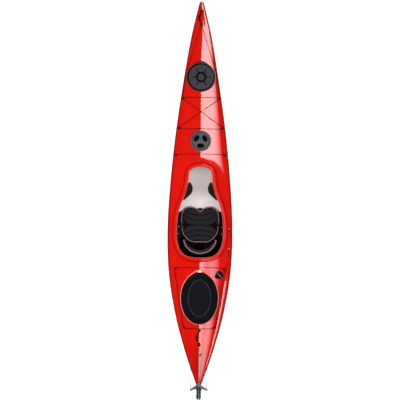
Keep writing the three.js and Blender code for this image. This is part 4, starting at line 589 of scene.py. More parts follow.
class EffectShelf:
    """Builds each shared effect once, as a node group, and hands it out."""

    def __init__(self) -> None:
        """Starts with no groups."""
        self.groups: dict[Effect, Tree] = {}

    def group(self, effect: Effect) -> Tree:
        """The node group of an effect, built at its first use."""
        if effect not in self.groups:
            self.groups[effect] = getattr(self, f"_{effect.value}")()
        return self.groups[effect]

    def _start(self, name: str, inputs: Sequence[tuple[str, str, object]],
               outputs: Sequence[tuple[str, str]]) -> tuple[Tree, Wiring, Node, Node]:
        """Opens a group with its sockets.

        Args:
            name: the group's name.
            inputs: name, socket type and default of each input.
            outputs: name and socket type of each output.

        Returns:
            The tree, its wiring, and its input and output nodes.
        """
        tree = bpy.data.node_groups.new(name, "ShaderNodeTree")
        for label, kind, default in inputs:
            socket = tree.interface.new_socket(name=label, in_out="INPUT", socket_type=kind)
            socket.default_value = default
        for label, kind in outputs:
            tree.interface.new_socket(name=label, in_out="OUTPUT", socket_type=kind)
        wires = Wiring(tree)
        return tree, wires, wires.add("NodeGroupInput"), wires.add("NodeGroupOutput")

    def _noise(self, wires: Wiring, scale: Socket, detail: float, roughness: float = 0.5) -> Socket:
        """A noise value on the piece's own coordinates."""
        place = wires.add("ShaderNodeTexCoord")
        cloud = wires.add("ShaderNodeTexNoise", Detail=detail, Roughness=roughness)
        wires.join(place.outputs["Object"], cloud.inputs["Vector"])
        wires.join(scale, cloud.inputs["Scale"])
        return cloud.outputs["Fac"]

    def _tint(self, name: str, second: str, tone: float, cover: Callable[[Wiring, Socket], Socket]) -> Tree:
        """A group that moves its colour towards a second one, by its amount times a cover.

        Args:
            name: the group's name.
            second: the second colour's name.
            tone: the grey of the second colour where a finish sets none.
            cover: makes how far the second colour covers, from the group's wires and its scale.

        Returns:
            The group.
        """
        tree, wires, given, out = self._start(name, [
            ("Color", COLOR_SOCKET, (1, 1, 1, 1)), (second, COLOR_SOCKET, (tone, tone, tone, 1)),
            ("Scale", FLOAT_SOCKET, 1.0), ("Amount", FLOAT_SOCKET, 0.0),
        ], [("Color", COLOR_SOCKET)])
        share = wires.maths("MULTIPLY", cover(wires, given.outputs["Scale"]), given.outputs["Amount"])
        wires.join(wires.blend(share, given.outputs["Color"], given.outputs[second]), out.inputs["Color"])
        return tree

    def _mottle(self) -> Tree:
        """Soft clouds of a second colour."""
        def cover(wires: Wiring, scale: Socket) -> Socket:
            """Clouds alone."""
            return self._noise(wires, scale, 4.0, CLOUD_ROUGHNESS)

        return self._tint("mottle", "Shade", 0.0, cover)

    def _grain(self) -> Tree:
        """Fine moulded grain: a height, and a roughness that varies with it."""
        tree, wires, given, out = self._start("grain", [
            ("Scale", FLOAT_SOCKET, 900.0), ("Low", FLOAT_SOCKET, 0.3), ("High", FLOAT_SOCKET, 0.5),
        ], [("Height", FLOAT_SOCKET), ("Roughness", FLOAT_SOCKET)])
        cloud = self._noise(wires, given.outputs["Scale"], 2.0, CLOUD_ROUGHNESS)
        spread = wires.maths("SUBTRACT", given.outputs["High"], given.outputs["Low"])
        rough = wires.maths("ADD", wires.maths("MULTIPLY", cloud, spread), given.outputs["Low"])
        wires.join(cloud, out.inputs["Height"])
        wires.join(rough, out.inputs["Roughness"])
        return tree

    def _weave(self) -> Tree:
        """A plain weave of two crossing threads: a height, and a mask of the thread in front."""
        tree, wires, given, out = self._start("weave", [
            ("Scale", FLOAT_SOCKET, 700.0),
        ], [("Height", FLOAT_SOCKET), ("Mask", FLOAT_SOCKET)])
        place = wires.add("ShaderNodeTexCoord")
        threads = []
        for direction in ("X", "Y"):
            wave = wires.add("ShaderNodeTexWave", bands_direction=direction, Distortion=0.6, Detail=1.0)
            wires.join(place.outputs["Object"], wave.inputs["Vector"])
            wires.join(given.outputs["Scale"], wave.inputs["Scale"])
            threads.append(wave.outputs["Fac"])
        wires.join(wires.maths("MAXIMUM", *threads), out.inputs["Height"])
        wires.join(wires.maths("GREATER_THAN", *threads), out.inputs["Mask"])
        return tree

    def _worn_edge(self) -> Tree:
        """Paler edges, by how pointed the surface is, broken up by noise."""
        def cover(wires: Wiring, scale: Socket) -> Socket:
            """Pointed places times clouds."""
            shape = wires.add("ShaderNodeNewGeometry")
            edge = wires.add("ShaderNodeMapRange", From_Min=POINTED_FROM, From_Max=POINTED_TO)
            wires.join(shape.outputs["Pointiness"], edge.inputs["Value"])
            return wires.maths("MULTIPLY", edge.outputs["Result"], self._noise(wires, scale, 3.0))

        return self._tint("worn_edge", "Worn", 1.0, cover)

    def _dust(self) -> Tree:
        """A thin pale film in patches on what faces up."""
        def cover(wires: Wiring, scale: Socket) -> Socket:
            """How far a face looks up times clouds."""
            shape = wires.add("ShaderNodeNewGeometry")
            parts = wires.add("ShaderNodeSeparateXYZ")
            wires.join(shape.outputs["Normal"], parts.inputs[0])
            up = wires.maths("MAXIMUM", parts.outputs["Z"], 0.0)
            return wires.maths("MULTIPLY", up, self._noise(wires, scale, 5.0))

        return self._tint("dust", "Dust", 0.5, cover)


EFFECTS = EffectShelf()


@dataclass(frozen=True)
class Finish:
    """One finish of the boat: its colours, gloss and fine relief."""

    name: str
    slot: str
    color: tuple[int, int, int]
    shade: tuple[int, int, int]
    rough_low: float
    rough_high: float
    metallic: float = 0.0
    coat: float = 0.0
    coat_roughness: float = 0.04
    specular: float = 0.5
    mottle_scale: float = 5.0
    mottle_amount: float = 0.4
    grain_scale: float = 900.0
    grain_height: float = 0.00015
    weave_scale: float = 0.0
    sheen: float = 0.0
    worn: float = 0.3
    dust: float = 0.0

    def material(self) -> bpy.types.Material:
        """The finish's material, built at its first use."""
        found = bpy.data.materials.get(self.name)
        return found or self._build()

    def _build(self) -> bpy.types.Material:
        """Builds the material from the shared effects and this finish's values."""
        material = bpy.data.materials.new(self.name)
        material.use_nodes = True
        wires = Wiring(material.node_tree)
        material.node_tree.nodes.clear()
        shader = wires.add("ShaderNodeBsdfPrincipled", Metallic=self.metallic, Coat_Weight=self.coat,
                           Coat_Roughness=self.coat_roughness, Sheen_Weight=self.sheen,
                           Specular_IOR_Level=self.specular)
        out = wires.add("ShaderNodeOutputMaterial")
        wires.join(shader.outputs["BSDF"], out.inputs["Surface"])
        color = self._effect(wires, Effect.MOTTLE, Color=linear(*self.color), Shade=linear(*self.shade),
                             Scale=self.mottle_scale, Amount=self.mottle_amount).outputs["Color"]
        grain = self._effect(wires, Effect.GRAIN, Scale=self.grain_scale, Low=self.rough_low,
                             High=self.rough_high)
        height = grain.outputs["Height"]
        if self.weave_scale:
            weave = self._effect(wires, Effect.WEAVE, Scale=self.weave_scale)
            height = wires.maths("ADD", height, weave.outputs["Height"])
            thread = wires.maths("MULTIPLY", weave.outputs["Mask"], THREAD_SHADE)
            color = wires.blend(thread, color, linear(*self.shade))
        if self.worn:
            paler = linear(*(min(c + WORN_LIFT, 255) for c in self.color))
            worn = self._effect(wires, Effect.WORN_EDGE, Worn=paler, Scale=WORN_SCALE, Amount=self.worn)
            wires.join(color, worn.inputs["Color"])
            color = worn.outputs["Color"]
        if self.dust:
            dust = self._effect(wires, Effect.DUST, Scale=DUST_SCALE, Amount=self.dust)
            wires.join(color, dust.inputs["Color"])
            color = dust.outputs["Color"]
        bump = wires.add("ShaderNodeBump", Strength=BUMP_STRENGTH, Distance=self.grain_height)
        wires.join(height, bump.inputs["Height"])
        wires.join(color, shader.inputs["Base Color"])
        wires.join(grain.outputs["Roughness"], shader.inputs["Roughness"])
        wires.join(bump.outputs["Normal"], shader.inputs["Normal"])
        return material

    def _effect(self, wires: Wiring, effect: Effect, **values: object) -> Node:
        """Places a shared effect with this finish's values."""
        node = wires.add("ShaderNodeGroup")
        node.node_tree = EFFECTS.group(effect)
        for key, value in values.items():
            node.inputs[key].default_value = value
        return node


# Finishes: name, packed slot, colour, second colour, least and most roughness

GELCOAT_RED = Finish("gelcoat_red", "deck_red", (213, 20, 8), (200, 14, 6), 0.3, 0.4, coat=1.0,
                     coat_roughness=0.06, specular=0.0, mottle_scale=3.0, grain_scale=30.0,
                     grain_height=0.0004, worn=0.0)
# Painted shade: a darker red band along the deck's edge, where the deck curves down to the sheer.
DECK_EDGE_SHADE = Finish("deck_edge", "deck_red", (158, 16, 14), (130, 12, 11), 0.4, 0.5, specular=0.0, worn=0.0)
HULL_OUTSIDE = Finish("gelcoat_pale", "hull_pale", (226, 220, 216), (214, 208, 204), 0.2, 0.3, coat=1.0,
                      grain_scale=40.0, grain_height=0.0003, worn=0.0)
LAMINATE_PALE = Finish("laminate_pale", "hull_pale", (246, 241, 239), (238, 230, 228), 0.3, 0.45,
                       grain_scale=180.0, grain_height=0.0003, weave_scale=220.0, worn=0.0)
SEAM_DARK = Finish("seam_dark", "seam_black", (104, 20, 20), (70, 13, 14), 0.45, 0.6, specular=0.0, worn=0.0)
RIM_RED = Finish("rim_red", "deck_red", (210, 20, 9), (194, 12, 7), 0.4, 0.5, coat=0.22, coat_roughness=0.15,
                 specular=0.0, grain_scale=60.0, grain_height=0.0002, worn=0.2)
# Painted shade: a darker red on the coaming lip's outer edge.
RIM_PAINTED_SHADE = Finish("rim_shade", "deck_red", (176, 12, 9), (150, 10, 8), 0.5, 0.6, specular=0.0, worn=0.0)
# Painted highlight: a pale pink on the coaming's inner bead and on the stern rim's outer edge.
RIM_PAINTED_HIGHLIGHT = Finish("rim_blush", "deck_red", (250, 150, 140), (240, 124, 114), 0.45, 0.55, specular=0.0,
                   worn=0.0)
# Painted highlight: a near-white triangle at the stern rim's point, where the flat in front of the lid mirrors
# the light.
POINT_PAINTED_HIGHLIGHT = Finish("rim_point", "deck_red", (250, 236, 234), (240, 222, 220), 0.35, 0.45, coat=0.5, worn=0.0)
RIM_DARK = Finish("rim_dark", "deck_red", (52, 34, 36), (36, 22, 24), 0.35, 0.5, coat=0.4, worn=0.3)
RUBBER_GREY = Finish("rubber_grey", "lid_grey", (56, 55, 59), (42, 41, 45), 0.55, 0.7, specular=0.04,
                     grain_height=0.0003, worn=0.4, dust=0.02)
RUBBER_BLACK = Finish("rubber_black", "lid_black", (10, 9, 14), (5, 4, 8), 0.45, 0.6, specular=0.01,
                      grain_height=0.0003, worn=0.4, dust=0.01)
LID_GREY = Finish("day_lid_grey", "day_grey", (80, 77, 82), (64, 61, 66), 0.35, 0.5, specular=0.12, worn=0.4,
                  dust=0.02)
# Painted shade: near black in the lids' grooves, recesses and steep faces.
LID_PAINTED_SHADE = Finish("lid_groove", "lid_black", (12, 10, 13), (6, 5, 7), 0.6, 0.75, specular=0.0, worn=0.0)
LID_INNER = Finish("lid_middle", "lid_black", (22, 21, 25), (15, 14, 18), 0.45, 0.6, specular=0.01, worn=0.3)
# Painted highlight: a paler grey bead on the black stern lid.
LID_LINE_HIGHLIGHT = Finish("lid_line", "lid_black", (74, 74, 80), (58, 58, 64), 0.5, 0.6, specular=0.05, worn=0.3)
PLASTIC_BLACK = Finish("moulded_black", "plastic_black", (16, 14, 16), (9, 8, 9), 0.5, 0.65, specular=0.02,
                       worn=0.3)
# Near black: the seat liner, partly dark seat wings and partly painted shade, and painted shade in the security
# recess and the lift track's slot.
BLACK_LINER_AND_SHADE = Finish("liner_black", "plastic_black", (9, 8, 9), (5, 4, 5), 0.7, 0.85, specular=0.0, worn=0.0)
HEAD_GREY = Finish("head_grey", "plastic_black", (34, 34, 36), (22, 22, 24), 0.4, 0.55, specular=0.08,
                   worn=0.4)
BOLT_PALE = Finish("brace_bolt", "deck_red", (246, 150, 140), (235, 130, 120), 0.35, 0.5, worn=0.0)
FOAM_BLACK = Finish("cell_foam_black", "foam_black", (26, 21, 22), (14, 11, 12), 0.8, 0.95, specular=0.1,
                    grain_scale=420.0, grain_height=0.0008, worn=0.3, dust=0.01)
FOAM_DARK = Finish("cell_foam_dark", "foam_black", (15, 14, 16), (9, 8, 10), 0.85, 0.96, specular=0.1,
                   grain_scale=420.0, grain_height=0.0008, worn=0.2)
FOAM_GREY = Finish("cell_foam_grey", "foam_grey", (150, 150, 154), (128, 128, 134), 0.85, 0.97,
                   grain_scale=300.0, grain_height=0.001)
CLOTH_BLACK = Finish("seat_cloth_black", "fabric_black", (40, 39, 42), (26, 25, 28), 0.75, 0.92,
                     specular=0.06, grain_height=0.0004, weave_scale=420.0, sheen=0.05, worn=0.0, dust=0.01)
# Painted shade: a darker cloth in the cushion's channel valleys.
CLOTH_PAINTED_SHADE = Finish("seat_cloth_seam", "fabric_black", (10, 8, 10), (5, 4, 5), 0.85, 0.95, specular=0.05,
                    grain_height=0.0004, weave_scale=420.0, worn=0.0)
PIPING_ROSE = Finish("piping_rose", "fabric_black", (176, 138, 146), (146, 112, 120), 0.6, 0.8,
                     grain_height=0.0003, weave_scale=600.0, worn=0.0)
CORD_DARK = Finish("deck_cord", "cord_dark", (96, 26, 24), (56, 14, 14), 0.7, 0.85, specular=0.0,
                   grain_height=0.0004, weave_scale=520.0, worn=0.0)
CORD_BLACK = replace(CORD_DARK, name="cord_black", color=(18, 14, 15), shade=(9, 7, 8))
STEEL = Finish("brushed_steel", "steel", (200, 200, 204), (168, 168, 172), 0.22, 0.38, metallic=1.0,
               grain_scale=500.0, grain_height=0.00005)
STEEL_DULL = replace(STEEL, name="dull_steel", color=(150, 150, 154), shade=(120, 120, 124), rough_low=0.45,
                     rough_high=0.6, metallic=0.6)
ALLOY = Finish("anodised_alloy", "aluminium", (150, 151, 156), (128, 129, 134), 0.3, 0.45, metallic=0.85,
               grain_scale=500.0, grain_height=0.00005)
ALLOY_DARK = replace(ALLOY, name="blade_alloy", color=(120, 121, 126), shade=(100, 101, 106), rough_low=0.35,
                     rough_high=0.5, metallic=0.7)
ALLOY_YOKE = replace(ALLOY, name="yoke_alloy", color=(112, 112, 115), shade=(92, 92, 95), rough_low=0.4,
                     rough_high=0.55, metallic=0.5)
Looks = Sequence[tuple[str, Finish, float]]


def dress(piece: Piece, finish: Finish) -> Piece:
    """Gives a piece its finish and material slot."""
    piece.data.materials.clear()
    piece.data.materials.append(finish.material())
    return piece


def loft(name: str, rings: Sequence[Ring], finish: Finish, body: str = "boat", joined: bool = False,
         sharp: float = SHARP_DEG) -> Piece:
    """A dressed piece through closed rings.

    Args:
        name: the piece's name.
        rings: the rings, one after another.
        finish: its finish.
        body: the body that carries it.
        joined: whether the last ring joins the first. Otherwise both are filled.
        sharp: the angle in degrees over which its edges stay sharp.

    Returns:
        The piece.
    """
    return dress(crease(new_piece(name, *bridge(rings, joined), body=body), sharp), finish)


def dress_nodes(names: Sequence[str], finish: Finish, bevel: float = 0.0) -> None:
    """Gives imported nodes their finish, with welded and slightly rounded edges.

    Args:
        names: the nodes.
        finish: their finish.
        bevel: the edges' rounding, or 0 for none.
    """
    for name in names:
        node = frame["nodes"][name]
        for slot in node.material_slots:
            slot.material = finish.material()
        weld = node.modifiers.new("weld", "WELD")
        weld.merge_threshold = NODE_WELD
        if bevel:
            rounding = node.modifiers.new("round", "BEVEL")
            rounding.width = bevel
            rounding.segments = 2
            rounding.limit_method = "ANGLE"
            rounding.angle_limit = math.radians(BEVEL_FROM_DEG)
        LOG.info("dressed %s in %s", name, finish.name)


def dress_all(looks: Looks) -> None:
    """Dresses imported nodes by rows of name, finish and rounding. A name with {side} stands for both sides."""
    for name, finish, bevel in looks:
        nodes = [name.format(side=side.suffix) for side in Side] if "{side}" in name else [name]
        dress_nodes(nodes, finish, bevel)


def middle_of(node: str) -> Vector:
    """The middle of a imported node's box."""
    low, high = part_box(node)
    return (low + high) / 2


def mirror_ring(half: Sequence[Vector]) -> Ring:
    """A half section and its mirror image, in one run from starboard to port."""
    return [*half, *(Vector((-p.x, p.y, p.z)) for p in reversed(half) if p.x > WELD)]


def sharpen(piece: Piece, wanted: Callable[[Vector, Vector], bool]) -> None:
    """Marks the edges sharp whose two ends a test picks."""
    mesh = piece.data
    for edge in mesh.edges:
        a, b = (mesh.vertices[i].co for i in edge.vertices)
        if wanted(a, b):
            edge.use_edge_sharp = True


def paint(piece: Piece, finishes: Sequence[Finish], pick: Callable[[Vector, Vector], int]) -> None:
    """Gives some faces of a dressed piece other finishes.

    Args:
        piece: the piece.
        finishes: the further finishes.
        pick: gives 0 for the piece's own finish or the number of a further one, from a face's middle and
            normal.
    """
    for finish in finishes:
        piece.data.materials.append(finish.material())
    for face in piece.data.polygons:
        face.material_index = pick(face.center, face.normal)


@dataclass
class SubAssembly:
    """A group of pieces that belong together on the boat."""

    form: HullForm

    def build(self) -> None:
        """Makes the group's pieces."""
        raise NotImplementedError


@dataclass
class Opening:
    """The cockpit's opening in plan."""

    half_width: float = 0.221
    length: float = 0.869
    rear_y: float = -0.543
    steps: int = 220
    shares: Rows = (
        (0, 1), (0.28, 0.983), (0.45, 0.951), (0.5, 0.895), (0.53, 0.82), (0.66, 0.686), (0.84, 0.575),
        (0.96, 0.443), (1, 0.277), (0.97, 0.178), (0.85, 0.085), (0.62, 0.024), (0.3, 0.002), (0, 0),
    )

    def outline(self) -> Ring:
        """The opening's edge."""
        return half_outline(self.shares, self.half_width, self.length, self.rear_y, self.steps)


@dataclass
class Hatch:
    """One hatch in plan, with the height of its rim's top."""

    zone: Zone
    y: float
    half_width: float
    half_length: float
    top: float
    point: float
    bore_inset: float = 0.0077

    def oval(self, grow: float = 0.0, share: float = 1.0, steps: int = 144, point: float = 0.0) -> Ring:
        """The hatch's outline, moved out by a margin and scaled by a share, with an optional front point."""
        ring = []
        for k in range(steps):
            turn = 2 * math.pi * k / steps
            ahead = max(math.cos(turn), 0.0) ** POINT_NARROWNESS * point
            across = (self.half_width * share + grow) * math.sin(turn)
            along = (self.half_length * share + grow) * math.cos(turn) + ahead
            ring.append(Vector((across, self.y + along, 0)))
        return ring


HATCHES = (
    Hatch(Zone.BOW, 1.178, 0.132, 0.132, 0.3505, 0.016),
    Hatch(Zone.DAY, 0.57, 0.092, 0.092, 0.3672, 0.0),
    Hatch(Zone.STERN, -0.931, 0.178, 0.248, 0.3055, 0.016),
)


@dataclass
class Shells(SubAssembly):
    """Deck and hull as fine shells, and the seam between them."""

    stations: int = 150
    void_shares: tuple[float, float] = (0.03, 0.975)
    overrun: float = 0.02
    cockpit_margin: float = 0.0053
    cut_top: float = 1.0
    edge_width: float = 0.011
    strip_half: float = 0.007
    strip_reach: float = 0.003
    strip_rounding: float = 0.001
    deck_sharp: float = 34.0
    seam_sharp: float = 50.0

    def build(self) -> None:
        """Makes both shells and the seam strip."""
        deck = self._shell("deck_shell", self.form.deck_half, 1, DECK_STEPS)
        cutters = [prism("cockpit_cut", moved_out(Opening().outline(), self.cockpit_margin), 0, self.cut_top)]
        for hatch in HATCHES:
            cutters.append(prism("hatch_cut", hatch.oval(-hatch.bore_inset), 0, self.cut_top))
        drill(deck, cutters)
        crease(deck, self.deck_sharp)
        sharpen(deck, lambda a, b: abs(a.x) < NODE_WELD and abs(b.x) < NODE_WELD)
        dress(deck, GELCOAT_RED)
        # The band along the deck's edge takes a darker red: painted shade.
        paint(deck, (DECK_EDGE_SHADE,), self._at_edge)
        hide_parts("deck")
        hull = dress(crease(self._shell("hull_shell", self.form.hull_half, -1, HULL_STEPS)), LAMINATE_PALE)
        paint(hull, (HULL_OUTSIDE,), self._outside)
        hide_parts("hull")
        self._seam()
        LOG.info("shells built with %d stations", self.stations)

    def _forms(self, low: float, high: float) -> list[Form]:
        """Stations between two shares of the length, closer together at the ends."""
        turns = [(1 - math.cos(math.pi * i / (self.stations - 1))) / 2 for i in range(self.stations)]
        return [self.form.at(mix(low, high, t)) for t in turns]

    def _shell(self, name: str, section: Callable[[Form, int], Ring], up: int, steps: int) -> Piece:
        """A thin shell from a half section.

        Args:
            name: the shell's name.
            section: gives the starboard half of a section.
            up: 1 where the shell rises from the sheer, -1 where it hangs from it.
            steps: points in the half section.

        Returns:
            The shell.
        """
        outer = [mirror_ring(section(form, steps)) for form in self._forms(0, 1)]
        inner = []
        for form in self._forms(*self.void_shares):
            depth = form.crown if up > 0 else form.sheer - form.keel
            narrow = 1 - min(SHELL_WALL / form.half_beam, MOST_WALL_SHARE)
            low = 1 - min(SHELL_WALL / depth, MOST_WALL_SHARE)
            half = mirror_ring(section(form, steps))
            ring = [Vector((p.x * narrow, p.y, mix(form.sheer, p.z, low))) for p in half]
            ring[0].z -= up * self.overrun
            ring[-1].z -= up * self.overrun
            inner.append(ring)
        piece = new_piece(name, *bridge(outer))
        drill(piece, [new_piece("void_cut", *bridge(inner))])
        return piece

    def _at_edge(self, place: Vector, normal: Vector) -> int:
        """Gives 1 for a deck face in the painted shade along its edge, where the deck curves down to the sheer,
        else 0.
        """
        return int(abs(place.x) > self.form.near(place.y).half_beam - self.edge_width)

    def _outside(self, place: Vector, normal: Vector) -> int:
        """Gives 1 for a hull face on its outer skin, else 0."""
        middle = Vector((0, 0, self.form.near(place.y).sheer))
        return int(normal.dot(Vector((place.x, 0, place.z)) - middle) > 0)

    def _seam(self) -> None:
        """The dark strip round the sheer."""
        rings = []
        forms = self._forms(0, 1)
        last = len(forms) - 1
        port = [(f, -1, i) for i, f in reversed(list(enumerate(forms)))]
        for form, side, i in [*((f, 1, i) for i, f in enumerate(forms)), *port]:
            reach = SEAM_REACH if i == 0 else -SEAM_REACH if i == last else 0.0
            inner_reach = reach - math.copysign(self.strip_reach, reach) if reach else 0.0
            wide, half, rounding = form.half_beam + SEAM_REACH, self.strip_half, self.strip_rounding
            corners = (
                (wide - self.strip_reach, inner_reach, -half), (wide - rounding, reach, -half),
                (wide, reach, rounding - half), (wide, reach, half - rounding),
                (wide - rounding, reach, half), (wide - self.strip_reach, inner_reach, half),
            )
            rings.append([Vector((side * x, form.y + y, form.sheer + z)) for x, y, z in corners])
        strip = loft("seam_band", rings, SEAM_DARK, joined=True, sharp=self.seam_sharp)
        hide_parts("seam_strip")


@dataclass
class Coaming(SubAssembly):
    """The cockpit's rim: a wall through the deck with a drooping lip round its top.

    Its profile is in mm, out of the opening and up from the deck.
    """

    profile: Rows = (
        (0, -14), (5, -14), (5, 4), (5.2, 20), (7, 23.4), (11, 24), (36, 19.3), (38.4, 19.6), (39.2, 21.6),
        (38.2, 24.4), (34, 27), (30, 28), (20, 29.4), (9, 30.2), (5.4, 29.6), (2.4, 27.6), (0.6, 24.5),
        (0, 20), (0, 4),
    )
    smoothing: int = 6
    sharp: float = 46.0
    edge_from: float = 0.031
    bead_to: float = 0.0056
    bead_from: float = 0.022

    def build(self) -> None:
        """Sweeps the profile round the opening."""
        outline = Opening().outline()
        heights = [self.form.deck(p.x, p.y) for p in outline]
        for _ in range(self.smoothing):
            after = [*heights[1:], heights[0]]
            heights = [(heights[i - 1] + 2 * h + after[i]) / 4 for i, h in enumerate(heights)]
        rings = []
        for i, (p, height) in enumerate(zip(outline, heights)):
            out = outward(outline, i)
            rings.append([p + out * (d * MM) + Vector((0, 0, height + h * MM)) for d, h in self.profile])
        rim = loft("coaming_rim", rings, RIM_RED, joined=True, sharp=self.sharp)
        self._paint(rim, outline)
        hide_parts("cockpit_coaming")
        LOG.info("coaming swept round %d points", len(outline))

    def _paint(self, rim: Piece, outline: Sequence[Vector]) -> None:
        """Paints the lip's outer edge darker, as painted shade, and the inner bead paler, as a painted
        highlight.
        """
        near = KDTree(len(outline))
        for i, p in enumerate(outline):
            near.insert(p, i)
        near.balance()
        paint(rim, (RIM_PAINTED_SHADE, RIM_PAINTED_HIGHLIGHT), lambda p, n: self._part(near, p))

    def _part(self, near: KDTree, place: Vector) -> int:
        """Which finish a face of the rim takes, by its distance out of the opening: painted shade at the lip's
        outer edge, a painted highlight on the high inner bead.
        """
        distance = near.find(Vector((place.x, place.y, 0)))[2]
        high = place.z > self.form.deck(place.x, place.y) + self.bead_from
        return 1 if distance > self.edge_from else 2 if distance < self.bead_to and high else 0


@dataclass
class Rims(SubAssembly):
    """The hatch rims on the deck.

    The profile is in metres, out of the hatch's outline and down from the rim's top.
    """

    flange: float = 0.014
    step: float = 0.007
    profile: Rows = (
        (-flange, 0.001), (0.001 - flange, 0), (-0.0012, 0), (-0.0002, 0.0008), (0.0004, 0.01),
        (0.0046, 0.0104), (0.0062, 0.0118), (step, 0.014),
    )
    collar: float = 0.006
    collar_depth: float = 0.012
    foot_sunk: float = 0.0006
    flange_lift: float = 0.0004
    least_step: float = 0.001
    pale_below: float = 0.004
    point_half: float = 0.024
    point_share: float = 0.1

    def build(self) -> None:
        """Makes the three rims."""
        for hatch in HATCHES:
            self._rim(hatch)

    def _rim(self, hatch: Hatch) -> None:
        """One rim: a collar through the deck, a flat top and a skirt that follows the deck."""
        hem = self.form.deck(hatch.half_width - self.flange, hatch.y) - self.collar_depth
        rings = []
        for grow, height in ((-self.flange, hem), *((out, hatch.top - down) for out, down in self.profile)):
            outline = hatch.oval(grow, point=hatch.point * smooth_step(-self.flange, 0, grow))
            rings.append([Vector((p.x, p.y, height)) for p in outline])
        foot = [self.form.on_deck(p.x, p.y, -self.foot_sunk) for p in rings[-1]]
        for p, low in zip(rings[-1], foot):
            p.z = max(p.z, low.z + self.least_step)
        outer_collar = hatch.oval(self.collar - self.flange)
        flange_foot = [self.form.on_deck(p.x, p.y, self.flange_lift) for p in outer_collar]
        rings += [foot, flange_foot, [Vector((p.x, p.y, hem)) for p in outer_collar]]
        finish = {Zone.BOW: RIM_DARK, Zone.DAY: LID_GREY, Zone.STERN: RIM_RED}[hatch.zone]
        rim = loft(f"{hatch.zone.value}_rim", rings, finish, joined=True)
        if hatch.zone is Zone.STERN:
            # The stern rim's outer edge and its point take painted highlights.
            paint(rim, (RIM_PAINTED_HIGHLIGHT, POINT_PAINTED_HIGHLIGHT), lambda p, n: self._part(hatch, p))
        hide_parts(f"{hatch.zone.value}_hatch_rim")
        LOG.info("%s rim built", hatch.zone.value)

    def _part(self, hatch: Hatch, place: Vector) -> int:
        """Which finish a face of the stern rim takes: a painted highlight on its outer edge, a paler painted
        highlight at its point.
        """
        across, along = place.x / hatch.half_width, (place.y - hatch.y) / hatch.half_length
        if place.z < self.form.deck(place.x, place.y) - self.pale_below:
            return 0
        if along > 1.0 and abs(place.x) < self.point_half * (1 - (along - 1) / self.point_share):
            return 2
        return int(math.hypot(across, along) > 1.0)


@dataclass(frozen=True)
class Dome:
    """The crown of a round lid in mm: its height, its fall at the edge, and how late it falls."""

    height: float
    fall: float
    lateness: int

    def at(self, share: float) -> float:
        """Its height at a share from the centre."""
        return self.height - self.fall * share ** self.lateness


